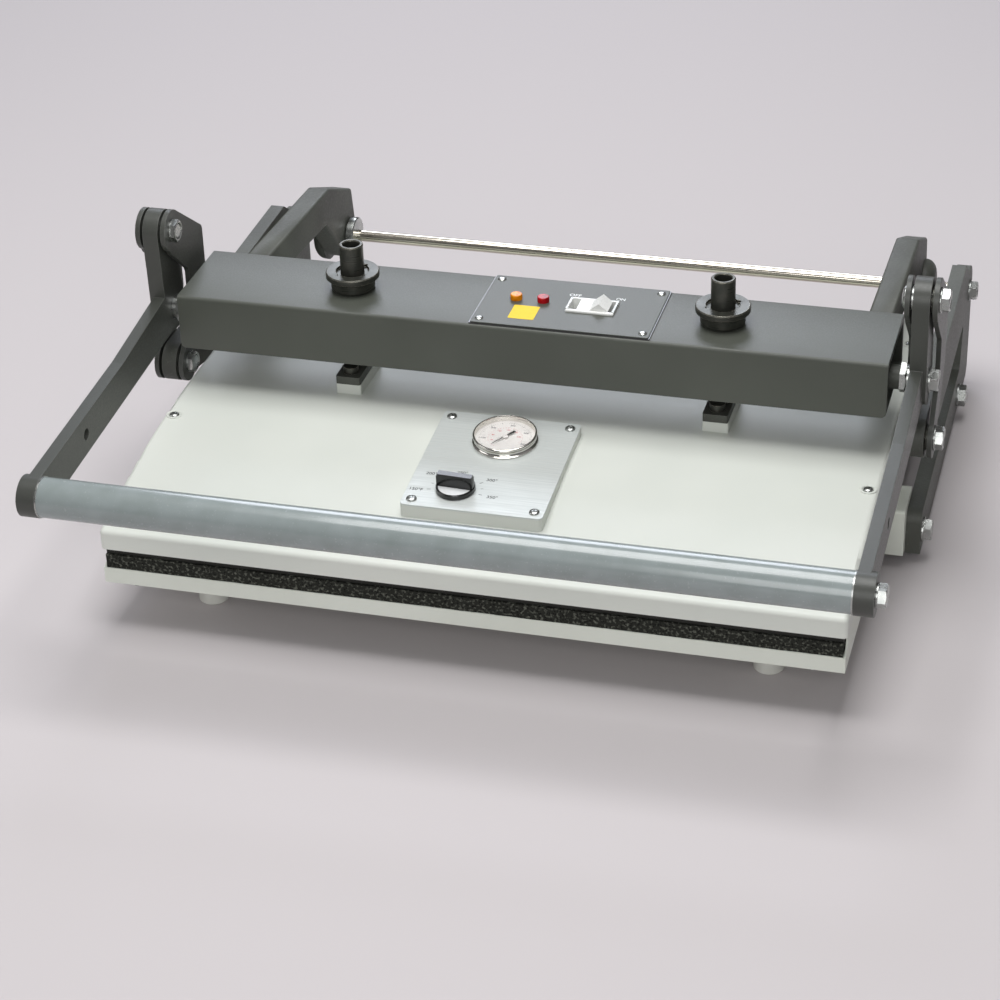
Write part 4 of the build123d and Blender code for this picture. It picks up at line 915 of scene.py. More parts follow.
# ---------------------------------------------------------------- sponge pad
@dataclass
class SpongePad:
    """The sponge rubber pad on the tray: a cut slab whose sides are a little rough."""

    trim: float = 0.4
    cuts: int = 70
    roughness_mm: float = 0.5
    lump_size: float = 0.007
    mid_level: float = 0.6
    fill: float = 0.9

    def build(self) -> None:
        """Cut the slab and roughen its sides."""
        low, high = (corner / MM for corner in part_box("sponge_pad"))
        size, middle = high - low, (low + high) / 2
        slab = Bench.box((size.x - 2 * self.trim, size.y - 2 * self.trim, size.z), middle)
        with Bench.editing(slab):
            bpy.ops.mesh.subdivide(number_cuts=self.cuts)
        half = size / 2
        edge = [
            vertex.index
            for vertex in slab.data.vertices
            if abs(vertex.co.x / MM - middle.x) > half.x - 2 * self.trim
            or abs(vertex.co.y / MM - middle.y) > half.y - 2 * self.trim
        ]
        slab.vertex_groups.new(name="sides").add(edge, 1.0, "REPLACE")
        lumps = bpy.data.textures.new("sponge_lumps", "CLOUDS")
        lumps.noise_scale = self.lump_size
        Bench.modify(
            slab,
            "DISPLACE",
            texture=lumps,
            texture_coords="LOCAL",
            vertex_group="sides",
            strength=self.roughness_mm * 2 * MM,
            mid_level=self.mid_level,
        )
        pad = Bench.hand_over(slab, "sponge_rubber_pad", Surface.FOAM, "base", "sponge_rubber", smooth=60.0)
        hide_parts("sponge_pad")


# ---------------------------------------------------------------- beam
@dataclass
class BeamTube:
    """The beam as a folded tube with tight corners, open for the posts, the switch and the lamps."""

    wall: float = 5.0
    corner: float = 2.6
    end_corner: float = 5.0
    inner_corner: float = 2.0
    overrun: float = 5.0  # how far a cutter passes the tube
    post_x: float = 157.0
    post_hole: float = 10.3
    switch_hole: tuple[float, float, float, float] = (48.2, -1.05, 39.4, 22.6)  # x, y, length, width
    switch_depth: float = 12.0
    lamp_holes: tuple[tuple[float, float], ...] = ((-16.7, 1.45), (6.2, 1.45))
    lamp_hole: float = 6.0

    def build(self) -> None:
        """Round a long box, hollow it and cut its openings."""
        low, high = (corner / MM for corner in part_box("beam"))
        size, middle = high - low, (low + high) / 2
        tube = Bench.box(size, middle)
        Bench.pick_edges(tube, lambda a, b: max(a.z, b.z) < middle.z and abs(a.y - b.y) > size.y / 2)
        Bench.bevel(self.end_corner, 5)
        Bench.pick_edges(tube, lambda a, b: abs(a.x - b.x) > size.x / 2)
        Bench.bevel(self.corner, 4)
        inside = (size.x + 2 * self.overrun, size.y - 2 * self.wall, size.z - 2 * self.wall)
        hollow = Bench.box(inside, middle)
        Bench.pick_edges(hollow, lambda a, b: abs(a.x - b.x) > size.x / 2)
        Bench.bevel(self.inner_corner, 2)
        Bench.cut(tube, hollow)
        for side in (-1, 1):
            spot = (side * self.post_x, middle.y)
            Bench.cut(tube, Bench.round(self.post_hole, low.z - self.overrun, high.z + self.overrun, spot))
        x, y, length, width = self.switch_hole
        Bench.cut(tube, Bench.box((length, width, self.switch_depth), (x, y, high.z)))
        reach = self.switch_depth / 2
        for spot in self.lamp_holes:
            Bench.cut(tube, Bench.round(self.lamp_hole, high.z - reach, high.z + reach, spot))
        Bench.hand_over(tube, "beam_folded_tube", Surface.BEAM, "yoke", "grey_enamel", replaces=["beam"])


# ---------------------------------------------------------------- yoke
@dataclass
class YokeArms:
    """The two cast arms of the yoke, with the ends of their hinge bosses cast round."""

    nodes: dict[str, bpy.types.Object]
    hinge: tuple[float, float] = (299.9, 104.5)
    face_x: float = 284.6
    boss_length: float = 10.4
    boss_radius: float = 25.0
    end_radius: float = 13.0
    root: float = 0.8  # where the rounding starts, out from the arm's face
    clearance: tuple[float, float] = (6.0, 2.0)  # of the cutter, round the boss and past its end
    steps: int = 8

    def build(self) -> None:
        """Copy each arm and turn its boss's end to a rounded profile."""
        for name, side in (("yoke_arm_left", -1), ("yoke_arm_right", 1)):
            arm = Bench.copy(self.nodes[name], Matrix.Identity(4))
            with Bench.editing(arm):
                bpy.ops.mesh.remove_doubles(threshold=0.005 * MM)
                bpy.ops.mesh.normals_make_consistent(inside=False)
            Bench.cut(arm, self.turning_tool(side))
            Bench.hand_over(arm, f"{name}_cast", Surface.CASTING, "yoke", "textured_black", replaces=[name])

    def turning_tool(self, side: int) -> bpy.types.Object:
        """The ring of metal that turning takes off a boss; side is 1 on the right, -1 on the left."""
        drop, rise = self.boss_radius - self.end_radius, self.boss_length - self.root
        curve = []
        for step in range(self.steps + 1):
            angle = radians(90.0 * step / self.steps)
            curve.append((self.end_radius + drop * cos(angle), self.root + rise * sin(angle)))
        rim, top = self.boss_radius + self.clearance[0], self.boss_length + self.clearance[1]
        profile = [(rim, self.root), *curve, (self.end_radius, top), (rim, top)]
        ring = Bench.turned(profile, sides=96, ring=True)
        ring.data.transform(
            Matrix.Translation(Vector((side * self.face_x, *self.hinge)) * MM)
            @ Matrix.Rotation(radians(90.0 * side), 4, "Y")
        )
        return ring


# ---------------------------------------------------------------- fastenings
@dataclass(frozen=True)
class Hardware:
    """Hexagons, threaded bars and screws, each made along Z with its seat or foot at level 0."""

    crown: float = 0.475  # radius of a hexagon's turned top, as a share of its flats
    overshoot: float = 1.02  # how far past the corners the turning runs, as a share of their radius
    chamfer_slope: float = 0.58
    countersink: float = 0.9
    thread_pitch: float = 1.75
    thread_depth: float = 0.5
    thread_turns: int = 5
    tip: float = 0.9
    recess_width: float = 0.16  # as a share of the head's radius
    recess_lift: float = 1.25  # the recess cutter's middle, as a share of the head's height

    def hexagon(self, flats: float, height: float, bore: float = 0.0) -> bpy.types.Object:
        """A hexagon with its upper corners turned off.

        Args:
            flats: its size across flats.
            height: its height.
            bore: the radius of a countersunk bore, or 0 for a solid head.

        Returns:
            The hexagon.
        """
        corner = flats / 3**0.5
        outside, top = corner * self.overshoot, self.crown * flats
        block = Bench.round(corner, 0.0, height, sides=6)
        shoulder = height - (outside - top) * self.chamfer_slope
        Bench.cut(block, Bench.turned(((outside, -1.0), (outside, shoulder), (top, height)), 48), "INTERSECT")
        if bore:
            mouth = bore + self.countersink
            drill = ((mouth, -0.1), (bore, 0.8), (bore, height - 0.8), (mouth, height + 0.1))
            Bench.cut(block, Bench.turned(drill, 32))
        return block

    def threaded(self, radius: float, low: float, high: float) -> bpy.types.Object:
        """A bar from low to high whose upper end is threaded and chamfered."""
        profile = [(radius, low)]
        level = high - 1.0 - self.thread_turns * self.thread_pitch
        for _ in range(self.thread_turns):
            profile += [
                (radius, level),
                (radius - self.thread_depth, level + self.thread_pitch * 0.5),
                (radius, level + self.thread_pitch * 0.98),
            ]
            level += self.thread_pitch
        profile += [(radius, high - self.tip), (radius - self.tip, high)]
        return Bench.turned(profile, 40)

    def button(
        self, radius: float, height: float, length: float = 0.0, shank: float = 5.0
    ) -> bpy.types.Object:
        """A low domed head on a plain shank.

        Args:
            radius: the head's radius.
            height: the head's height.
            length: how far the shank goes down.
            shank: the shank's radius.

        Returns:
            The screw.
        """
        profile = [(shank, -length), (shank, 0.0), (radius, 0.0), (radius, height * 0.25)]
        for step in (8, 20, 35, 50, 65, 80):
            rise = 0.25 + 0.75 * sin(radians(step))
            profile.append((radius * cos(radians(step)), height * rise))
        return Bench.turned(profile, 48)

    def cross_headed(self, radius: float, height: float, length: float, shank: float) -> bpy.types.Object:
        """A pan-headed screw with a cross recess; its sizes are a button's."""
        screw = self.button(radius, height, length, shank)
        slot = radius * self.recess_width
        for size in ((radius, slot, height), (slot, radius, height)):
            Bench.cut(screw, Bench.box(size, (0, 0, height * self.recess_lift)))
        return screw


@dataclass
class Fastenings:
    """Chamfered hexagons, threaded ends and domed screws, in the places of the plain ones.

    The linkage's bolts all go in from the right, so on the left their low heads are outside.
    """

    nodes: dict[str, bpy.types.Object]
    hardware: Hardware = Hardware()
    turns: tuple[float, ...] = (12.0, 22.0, 27.0, 3.0, 50.0, 20.0)
    pivot_flats: float = 17.0
    pivot_radius: float = 6.35
    pivot_bore: float = 6.4
    inboard_head: tuple[float, float] = (9.3, 3.9)  # radius and height
    outboard_head: tuple[float, float] = (8.6, 2.2)
    head_seat: float = 4.5  # from a bolt's inner end to its head's seat
    outboard_seat: float = 6.0
    bolt_start: float = -0.3
    nut_washer: tuple[tuple[float, float], ...] = ((6.5, 0.0), (9.4, 0.0), (9.4, 1.3), (6.5, 1.3))
    washer_bore: float = 6.6
    washer_radius: float = 10.5
    washer_edge: float = 0.3
    crank_middle: float = 319.6
    outer_strap: float = 330.0
    crank_nut_turn: float = 28.0
    frame_head: float = 6.5
    frame_bolt_radius: float = 6.3
    channel_top: float = 60.0
    frame_nut: tuple[float, float] = (17.0, 6.35)  # flats and bore
    rod_nut: tuple[float, float] = (14.8, 5.45)
    grip_head: float = 6.4
    grip_flats: float = 16.0
    grip_turn: float = 8.0
    grip_dome: tuple[float, float] = (8.2, 2.6)
    grip_shank: float = 5.0
    small_shank: float = 1.45
    rim_profile: tuple[tuple[float, float], ...] = (
        (4.9, -1.2),
        (6.9, -1.2),
        (6.9, 0.0),
        (6.4, 0.35),
        (5.6, 0.35),
        (4.9, -0.2),
    )

    def build(self) -> None:
        """Replace the linkage's, side frames' and grip's fastenings, and the small screws."""
        self.strap_fastenings()
        self.strap_washers()
        self.crank_fastenings()
        self.jam_nuts()
        self.frame_bolts()
        self.frame_nuts()
        self.grip_screws()
        self.small_screws("panel_screws", 3.6, 1.9)
        self.small_screws("cover_screws", 4.2, 2.4)
        self.cover_dimples()

    def solids(self, name: str) -> list[Solid]:
        """The separate solids of a node."""
        return Bench.loose_solids(self.nodes[name])

    @staticmethod
    def set_down(
        piece: bpy.types.Object, x: float, solid: Solid, towards: int, turn: float = 0.0
    ) -> bpy.types.Object:
        """Lay a piece along the axis of a plain solid.

        Args:
            piece: the piece, standing along Z.
            x: where its foot goes along that axis.
            solid: the plain solid.
            towards: 1 where it points right, -1 where it points left.
            turn: how far it is turned about its own axis, in degrees.

        Returns:
            The piece.
        """
        piece.data.transform(
            Matrix.Translation(Vector((x, solid.middle.y, solid.middle.z)) * MM)
            @ Matrix.Rotation(radians(90.0 * towards), 4, "Y")
            @ Matrix.Rotation(radians(turn), 4, "Z")
        )
        return piece

    def hand_over_zinc(self, pieces: Sequence[bpy.types.Object], name: str, body: str, node: str) -> None:
        """Join zinc-plated pieces and put them in the place of a node."""
        Bench.hand_over(Bench.join(pieces), name, Surface.ZINC, body, "zinc_steel", replaces=[node])

    def pivot_nut(self, height: float) -> bpy.types.Object:
        """A nut for a pivot bolt."""
        return self.hardware.hexagon(self.pivot_flats, height, self.pivot_bore)

    def strap_fastenings(self) -> None:
        """Bolts through both straps: a low head, and a nut on a threaded end."""
        bolts, nuts = [], []
        for place, bolt in enumerate(self.solids("strap_bolts")):
            if bolt.side > 0:
                seat = bolt.low.x + self.head_seat
                head = self.hardware.button(*self.inboard_head)
                bolts.append(self.set_down(head, seat, bolt, -1))
                shank = self.hardware.threaded(self.pivot_radius, self.bolt_start, bolt.high.x - seat)
                bolts.append(self.set_down(shank, seat, bolt, 1))
                continue
            seat, foot = bolt.high.x - self.head_seat, bolt.low.x + self.outboard_seat
            bolts.append(self.set_down(self.hardware.button(*self.outboard_head), foot, bolt, -1))
            shank = self.hardware.threaded(self.pivot_radius, self.bolt_start, seat + 5.2 - foot)
            bolts.append(self.set_down(shank, foot, bolt, 1))
            nuts.append(self.set_down(Bench.turned(self.nut_washer, 48, True), seat, bolt, 1))
            nuts.append(self.set_down(self.pivot_nut(4.4), seat + 1.3, bolt, 1, self.turns[place]))
        for place, nut in enumerate(self.solids("strap_nuts")):
            if nut.side > 0:
                nuts.append(self.set_down(self.pivot_nut(nut.length), nut.low.x, nut, 1, self.turns[place]))
        self.hand_over_zinc(bolts, "strap_bolts_threaded", "straps", "strap_bolts")
        self.hand_over_zinc(nuts, "strap_nuts_chamfered", "straps", "strap_nuts")

    def strap_washers(self) -> None:
        """Bright washers under the nuts and next to the inner straps, and black ones outside the cranks."""
        bright, black = [], []
        bore, edge = self.washer_bore, self.washer_edge
        for washer in self.solids("strap_washers"):
            top = washer.length
            middle = abs(washer.low.x + washer.high.x) / 2
            dark = self.crank_middle < middle < self.outer_strap
            small = dark or middle < self.crank_middle
            radius = self.washer_radius if small else (washer.high.z - washer.low.z) / 2
            rim = ((radius - edge, 0.0), (radius, edge), (radius, top - edge), (radius - edge, top))
            ring = Bench.turned(((bore, 0.0), *rim, (bore, top)), 48, True)
            (black if dark else bright).append(self.set_down(ring, washer.low.x, washer, 1))
        self.hand_over_zinc(bright, "strap_washers_bright", "straps", "strap_washers")
        ring = Bench.join(black)
        Bench.hand_over(ring, "strap_washers_black", Surface.BLACKENED, "straps", "blackened_steel")

    def crank_fastenings(self) -> None:
        """The studs that the cranks turn on, nutted on the right and headed on the left."""
        studs, nuts = [], []
        for nut, stud in zip(self.solids("crank_nuts"), self.solids("crank_studs")):
            if nut.side > 0:
                nuts.append(self.set_down(self.pivot_nut(nut.length), nut.low.x, nut, 1, self.crank_nut_turn))
                bar = self.hardware.threaded(self.pivot_radius, 0.0, stud.length)
                studs.append(self.set_down(bar, stud.low.x, stud, 1))
                continue
            nuts.append(self.set_down(self.hardware.button(*self.outboard_head), nut.high.x, nut, -1))
            plain = Bench.round(self.pivot_radius, 0.0, stud.high.x - nut.high.x)
            studs.append(self.set_down(plain, nut.high.x, stud, 1))
        self.hand_over_zinc(studs, "crank_studs_threaded", "yoke", "crank_studs")
        self.hand_over_zinc(nuts, "crank_nuts_chamfered", "yoke", "crank_nuts")

    def jam_nuts(self) -> None:
        """The larger nuts that lock the studs to the beam's bosses."""
        nuts = []
        for place, plain in enumerate(self.solids("jam_nuts")):
            nut = self.hardware.hexagon(plain.high.z - plain.low.z, plain.length, self.pivot_bore)
            nuts.append(self.set_down(nut, plain.inner, plain, plain.side, self.turns[place]))
        self.hand_over_zinc(nuts, "jam_nuts_chamfered", "yoke", "jam_nuts")

    def frame_bolts(self) -> None:
        """Hexagon-headed bolts that hold the side frames to the cross channels."""
        bolts = []
        for place, bolt in enumerate(self.solids("frame_bolts")):
            seat = bolt.outer - bolt.side * self.frame_head
            head = self.hardware.hexagon(self.pivot_flats, self.frame_head)
            bolts.append(self.set_down(head, seat, bolt, bolt.side, self.turns[place]))
            end = bolt.length - self.frame_head
            shank = self.hardware.threaded(self.frame_bolt_radius, self.bolt_start, end)
            bolts.append(self.set_down(shank, seat, bolt, -bolt.side))
        self.hand_over_zinc(bolts, "frame_bolts_threaded", "base", "frame_bolts")

    def frame_nuts(self) -> None:
        """Nuts inside the cross channels, and the smaller ones on the ends of the hinge rod."""
        nuts = []
        for place, plain in enumerate(self.solids("frame_nuts")):
            on_rod = plain.low.z > self.channel_top
            flats, bore = self.rod_nut if on_rod else self.frame_nut
            foot, way = (plain.inner, plain.side) if on_rod else (plain.outer, -plain.side)
            nut = self.hardware.hexagon(flats, plain.length, bore)
            nuts.append(self.set_down(nut, foot, plain, way, self.turns[place]))
        self.hand_over_zinc(nuts, "frame_nuts_chamfered", "base", "frame_nuts")

    def grip_screws(self) -> None:
        """The handle's end screws: a low dome on the left and a hexagon head on the right."""
        screws = []
        for plain in self.solids("grip_bolts"):
            seat, length = plain.outer - plain.side * self.grip_head, plain.length - self.grip_head
            if plain.side < 0:
                dome = self.hardware.button(*self.grip_dome, length, self.grip_shank)
                screws.append(self.set_down(dome, seat, plain, -1))
                continue
            head = self.hardware.hexagon(self.grip_flats, self.grip_head)
            screws.append(self.set_down(head, seat, plain, 1, self.grip_turn))
            shank = Bench.round(self.grip_shank, 0.0, length + 0.2)
            screws.append(self.set_down(shank, seat + 0.2, plain, -1))
        self.hand_over_zinc(screws, "grip_end_screws", "handle", "grip_bolts")

    def small_screws(self, name: str, radius: float, height: float) -> None:
        """Put a domed screw in the place of each upright plain one.

        Args:
            name: the node.
            radius: the head's radius.
            height: the head's height.
        """
        placed = []
        for plain in self.solids(name):
            length = plain.high.z - plain.low.z - height
            screw = self.hardware.button(radius, height, length, self.small_shank)
            placed.append(self.stand(screw, plain, height))
        self.hand_over_zinc(placed, f"{name}_domed", "yoke", name)

    def cover_dimples(self) -> None:
        """The pressed rim round each of the cover's screws."""
        rims = []
        for screw in self.solids("cover_screws"):
            rims.append(self.stand(Bench.turned(self.rim_profile, 48, True), screw, 1.2))
        Bench.hand_over(Bench.join(rims), "cover_screw_rims", Surface.COVER, "yoke", "cover_enamel")

    @staticmethod
    def stand(piece: bpy.types.Object, solid: Solid, drop: float) -> bpy.types.Object:
        """Stand a piece on a plain upright solid's axis, a drop below its top."""
        spot = Vector((solid.middle.x, solid.middle.y, solid.high.z - drop))
        piece.data.transform(Matrix.Translation(spot * MM))
        return piece


# ---------------------------------------------------------------- control plate
# (radius, level) points of the turned pieces on the plate
CASE_PROFILE = (
    (24.7, 2.0),
    (4.0, 2.0),
    (4.0, -20.0),
    (3.9, -20.0),
    (3.9, 0.0),
    (26.6, 0.0),
    (27.0, 0.5),
    (26.9, 1.1),
    (26.2, 1.5),
    (25.3, 2.2),
    (25.0, 3.4),
    (25.2, 4.8),
    (25.9, 5.6),
    (26.4, 6.4),
    (26.4, 7.1),
    (26.0, 7.7),
    (25.3, 8.0),
    (24.9, 7.9),
    (24.7, 7.5),
)
HUB_PROFILE = ((1.25, 3.9), (2.4, 4.0), (2.4, 4.5), (1.9, 4.9), (0.8, 5.1))
SKIRT_PROFILE = (
    (15.6, 0.3),
    (16.0, 0.7),
    (15.8, 3.7),
    (15.3, 4.3),
    (14.6, 4.4),
    (14.2, 4.1),
    (14.1, 3.0),
    (3.0, 3.0),
)
GRIP_ENVELOPE = ((15.2, -1.0), (15.2, 12.0), (14.2, 15.0))
SILVER_PROFILE = ((13.9, 3.02), (13.9, 3.5), (13.5, 3.65))
KNOB_MARKS = {"150°F": 190.0, "200°": 145.0, "250°": 92.0, "300°": 34.0, "350°": -10.0}


@dataclass
class ControlPlate:
    """The sloping plate on the cover: thermometer, thermostat knob and their scales."""

    origin: tuple[float, float, float] = (-6.7, -188.9, 115.0)
    tilt: float = 4.9
    gauge_spot: tuple[float, float] = (2.2, 100.5)
    knob_spot: tuple[float, float] = (-19.1, 27.0)
    dial_level: float = 2.8
    ink_lift: float = 0.04
    stroke_height: float = 0.04
    screw_grid: tuple[float, float] = (50.1, 8.0)  # from the plate's middle, and from its ends
    screw_turns: tuple[float, float] = (17.0, 31.0)  # of the first recess, and from one to the next
    plate_length: float = 134.5
    needle_level: float = 4.3
    needle_bearing: float = 235.0
    knob_turn: float = -3.0
    grip_size: tuple[float, float, float] = (31.0, 6.2, 13.9)
    grip_middle: float = 7.45
    grip_top: float = 14.3
    word_height: float = 3.4
    word_reach: float = 22.5
    word_spread: float = 9.5
    scale_start: float = 243.0
    scale_sweep: float = 265.0

    def frame(self, spot: tuple[float, float] = (0.0, 0.0), turn: float = 0.0) -> Matrix:
        """The plate's own frame, moved to a spot on it.

        Args:
            spot: how far right and how far up the plate from its front middle.
            turn: how far it is turned on the plate, in degrees.

        Returns:
            A matrix from that frame, in metres, to the press.
        """
        return (
            Matrix.Translation(Vector(self.origin) * MM)
            @ Matrix.Rotation(radians(self.tilt), 4, "X")
            @ Matrix.Translation(Vector((*spot, 0.0)) * MM)
            @ Matrix.Rotation(radians(turn), 4, "Z")
        )

    def build(self) -> None:
        """Screw the plate down, print its scales and mount the thermometer and the knob."""
        self.screw_down()
        self.print_knob_scale()
        self.print_dial()
        self.turn_case()
        self.mount_needle()
        self.mount_knob()

    def screw_down(self) -> None:
        """A pan-headed screw in each corner."""
        across, inset = self.screw_grid
        first, step = self.screw_turns
        spots = [(x, y) for x in (-across, across) for y in (inset, self.plate_length - inset)]
        placed = []
        for place, spot in enumerate(spots):
            screw = Hardware().cross_headed(4.2, 2.1, 5.0, 1.5)
            screw.data.transform(self.frame(spot, first + step * place))
            placed.append(screw)
        name, node = "plate_screws_pan_headed", "plate_screws"
        Bench.hand_over(Bench.join(placed), name, Surface.ZINC, "yoke", "zinc_steel", replaces=[node])

    def turn_case(self) -> None:
        """The thermometer's polished case: a flared foot, a hollow neck and a rolled rim round the glass."""
        Bench.hand_over(
            Bench.turned(CASE_PROFILE, sides=128, ring=True),
            "thermometer_rolled_case",
            Surface.CHROME,
            "yoke",
            "bright_steel",
            self.frame(self.gauge_spot),
            replaces=["thermometer_case"],
            smooth=40.0,
        )

    def blade(self, size: Sequence[float], middle: float, taper: float) -> bpy.types.Object:
        """A flat bar along X, narrowed at its right end to a share of its width."""
        bar = Bench.box(size, (middle, 0, self.needle_level))
        Bench.pick_edges(bar, lambda a, b: min(a.x, b.x) > middle)
        centre = (0, 0, self.needle_level * MM)
        bpy.ops.transform.resize(value=(1.0, taper, 1.0), center_override=centre)
        bpy.ops.object.mode_set(mode="OBJECT")
        return bar

    def mount_needle(self) -> None:
        """A thin tapered pointer with a broad tail, on a pale hub."""
        pointer = self.blade((15.0, 1.3, 0.35), 7.3, 0.25)
        tail = self.blade((9.0, 2.5, 0.45), -6.0, 0.5)
        place = self.frame(self.gauge_spot, self.needle_bearing)
        Bench.hand_over(
            Bench.join([pointer, tail]),
            "thermometer_pointer",
            Surface.BLACK_PLASTIC,
            "needle",
            "black_plastic",
            place,
            replaces=["thermometer_needle"],
        )
        hub = Bench.turned(HUB_PROFILE, sides=32)
        Bench.hand_over(hub, "thermometer_hub", Surface.DIAL, "needle", "dial_white", place)

    def mount_knob(self) -> None:
        """The thermostat knob: a black skirt with a recessed face, a tall grip and a silver half-disc."""
        place = self.frame(self.knob_spot, self.knob_turn)
        skirt = Bench.turned(SKIRT_PROFILE, sides=96)
        grip = Bench.box(self.grip_size, (0, 0, self.grip_middle))
        Bench.cut(grip, Bench.turned(GRIP_ENVELOPE, sides=96), "INTERSECT")
        Bench.pick_edges(grip, lambda a, b: min(a.z, b.z) > self.grip_top and abs(a.y - b.y) < 0.1)
        Bench.bevel(1.2, 4)
        Bench.hand_over(
            Bench.join([skirt, grip]),
            "thermostat_knob_body",
            Surface.BLACK_PLASTIC,
            "knob",
            "black_plastic",
            place,
            replaces=["thermostat_knob"],
            smooth=35.0,
        )
        silver = Bench.turned(SILVER_PROFILE, sides=96)
        Bench.cut(silver, Bench.box((40.0, 40.0, 4.0), (0, 16.4, 3.4)))
        Bench.hand_over(silver, "thermostat_silver_insert", Surface.SILVER, "knob", "bright_steel", place)

    def ticks(
        self, bearings: Iterable[float], inner: float, outer: float, width: float, lift: float
    ) -> list[bpy.types.Object]:
        """Radial printed strokes.

        Args:
            bearings: their directions in degrees, anticlockwise from +X.
            inner: where they start from the centre.
            outer: where they end.
            width: how wide they are.
            lift: their level.

        Returns:
            The strokes as separate meshes.
        """
        size = (outer - inner, width, self.stroke_height)
        stroke = Bench.box(size, ((inner + outer) / 2, 0, lift))
        copies = [Bench.copy(stroke, Matrix.Rotation(radians(bearing), 4, "Z")) for bearing in bearings]
        bpy.data.objects.remove(stroke)
        return copies

    @staticmethod
    def label(text: str, height: float, reach: float, bearing: float, lift: float) -> bpy.types.Object:
        """A word at a reach and a bearing from a scale's centre."""
        angle = radians(bearing)
        return Bench.words(text, height, (reach * cos(angle), reach * sin(angle)), lift)

    def steps(self, count: int) -> list[float]:
        """The bearings that divide the thermometer's scale into a number of equal steps."""
        return [self.scale_start - self.scale_sweep * step / count for step in range(count + 1)]

    def print_knob_scale(self) -> None:
        """Temperatures round the thermostat knob, from the coolest at the left to the hottest."""
        pieces = self.ticks(KNOB_MARKS.values(), 20.0, 23.0, 0.5, self.ink_lift)
        pieces += self.ticks((167.5, 118.0, 63.0, 12.0), 20.0, 21.8, 0.4, self.ink_lift)
        for text, bearing in KNOB_MARKS.items():
            reach = self.word_reach + self.word_spread * abs(cos(radians(bearing)))
            pieces.append(self.label(text, self.word_height, reach, bearing, self.ink_lift))
        place = self.frame(self.knob_spot)
        Bench.hand_over(
            Bench.join(pieces), "thermostat_scale", Surface.BLACK_INK, "yoke", "black_plastic", place
        )

    def print_dial(self) -> None:
        """Two scales on the thermometer: a black one outside and a red one inside."""
        lift = self.dial_level + self.ink_lift
        place = self.frame(self.gauge_spot)
        tens = self.steps(10)
        black = self.ticks(self.steps(50), 20.6, 21.6, 0.22, lift)
        black += self.ticks(tens, 19.8, 21.8, 0.34, lift)
        black += [self.label(str(50 * step), 2.0, 17.9, tens[step], lift) for step in range(2, 11, 2)]
        Bench.hand_over(
            Bench.join(black), "dial_outer_scale", Surface.BLACK_INK, "yoke", "black_plastic", place
        )
        sevenths = self.steps(7)
        red = self.ticks(self.steps(30), 13.6, 14.5, 0.25, lift)
        red += [self.label(str(40 * step), 1.7, 11.2, sevenths[step], lift) for step in range(1, 7)]
        Bench.hand_over(Bench.join(red), "dial_inner_scale", Surface.RED_INK, "yoke", "red_lens", place)


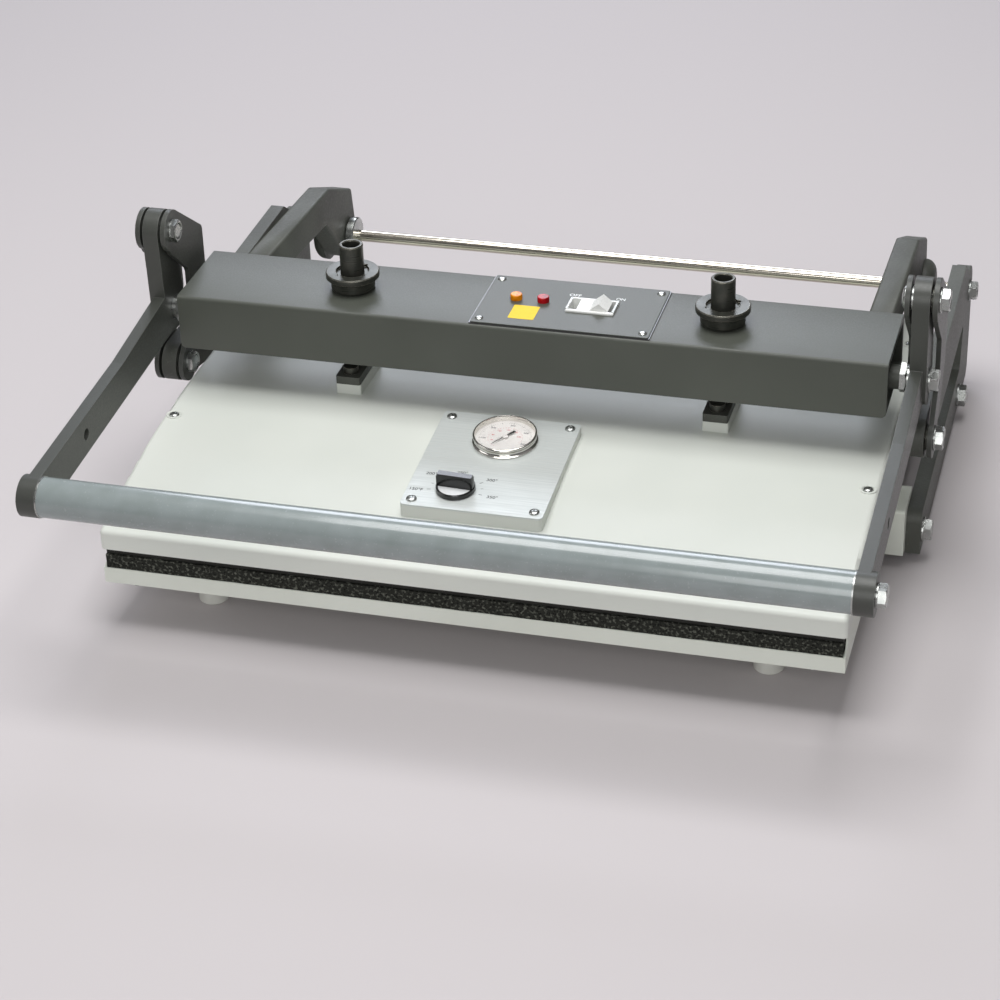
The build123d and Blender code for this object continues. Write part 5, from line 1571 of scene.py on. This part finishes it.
# ---------------------------------------------------------------- switch panel
@dataclass
class SwitchPanel:
    """The panel on the beam: lamps, rocker switch, their words and a plain label."""

    top: float = 206.8
    label_low: tuple[float, float] = (-15.3, -33.5)
    label_high: tuple[float, float] = (6.4, -9.5)
    label_height: float = 0.16
    # each word's name, text, middle and width
    words: tuple[tuple[Any, ...], ...] = (
        ("off", "OFF", (29.6, 17.3), 10.0),
        ("on", "ON", (68.0, 17.3), 7.6),
    )
    word_height: float = 4.2
    word_lift: float = 0.03
    switch_middle: tuple[float, float] = (48.2, -1.05)
    clip_reach: float = 19.25  # switch's middle to a clip's middle
    clip_size: tuple[float, float] = (1.9, 20.4)
    clip_thickness: float = 0.5
    clip_top: float = 209.0
    clip_drop: float = 0.3
    ridge_count: int = 9
    # the black strip of painted shade round the panel: how far it reaches past the panel's sides, and its
    # height
    shadow_line_reach: tuple[float, float] = (1.0, 0.6)
    shadow_line_height: float = 1.2

    def build(self) -> None:
        """Stick the label on, lay a line of painted shade round the panel, print the words and clip the
        switch in.
        """
        self.stick_label()
        self.lay_painted_shadow_line()
        for name, text, at, width in self.words:
            words = Bench.words(text, self.word_height, at, self.top + self.word_lift, width)
            Bench.hand_over(words, f"switch_word_{name}", Surface.WHITE_INK, "yoke", "switch_white")
        self.clip_switch()

    def lay_painted_shadow_line(self) -> None:
        """A black strip round the panel that stands in for the shadow gap at its edge: painted shade."""
        low, high = (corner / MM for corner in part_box("switch_panel"))
        size = high - low
        middle = (low + high) / 2
        middle.z = low.z + self.shadow_line_height / 2
        across, along = self.shadow_line_reach
        # painted shade: a black ring put under the panel's edge where there is only a shadow gap
        ring = Bench.box((size.x + 2 * across, size.y + 2 * along, self.shadow_line_height), middle)
        Bench.cut(ring, Bench.box((size.x, size.y, 4.0), middle))
        Bench.hand_over(ring, "panel_painted_shadow_line", Surface.BLACK_PLASTIC, "yoke", "black_plastic")

    def clip_switch(self) -> None:
        """A ridged spring clip at each end of the switch."""
        width, length = self.clip_size
        step, thick = length / self.ridge_count, self.clip_thickness
        strips = []
        for side in (-1, 1):
            x, y = self.switch_middle[0] + side * self.clip_reach, self.switch_middle[1]
            strips.append(Bench.box((width, length, thick), (x, y, self.clip_top - self.clip_drop)))
            for ridge in range(self.ridge_count):
                at = (x, y - length / 2 + (ridge + 0.5) * step, self.clip_top)
                bar = Bench.box((width, step * 0.5, thick), at)
                Bench.pick_edges(bar, lambda a, b: min(a.z, b.z) > self.clip_top and abs(a.y - b.y) < 0.1)
                Bench.bevel(0.2, 2)
                strips.append(bar)
        Bench.hand_over(Bench.join(strips), "switch_end_clips", Surface.ZINC, "yoke", "zinc_steel")

    def stick_label(self) -> None:
        """A plain yellow label with rounded corners."""
        low, high, height = self.label_low, self.label_high, self.label_height
        size = (high[0] - low[0], high[1] - low[1], height)
        label = Bench.box(size, ((high[0] + low[0]) / 2, (high[1] + low[1]) / 2, self.top + height / 2))
        Bench.pick_edges(label, lambda a, b: abs(a.z - b.z) > height / 2)
        Bench.bevel(1.2, 4)
        Bench.hand_over(label, "blank_yellow_label", Surface.LABEL, "yoke", "amber_lens")


def main() -> None:
    """Build the studio and dress the press."""
    logging.basicConfig(level=logging.INFO, format="%(name)s %(message)s")
    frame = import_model()
    Studio().build()
    dress(frame["nodes"])
    SpongePad().build()
    BeamTube().build()
    YokeArms(frame["nodes"]).build()
    Fastenings(frame["nodes"]).build()
    ControlPlate().build()
    SwitchPanel().build()


if __name__ == "__main__":
    main()
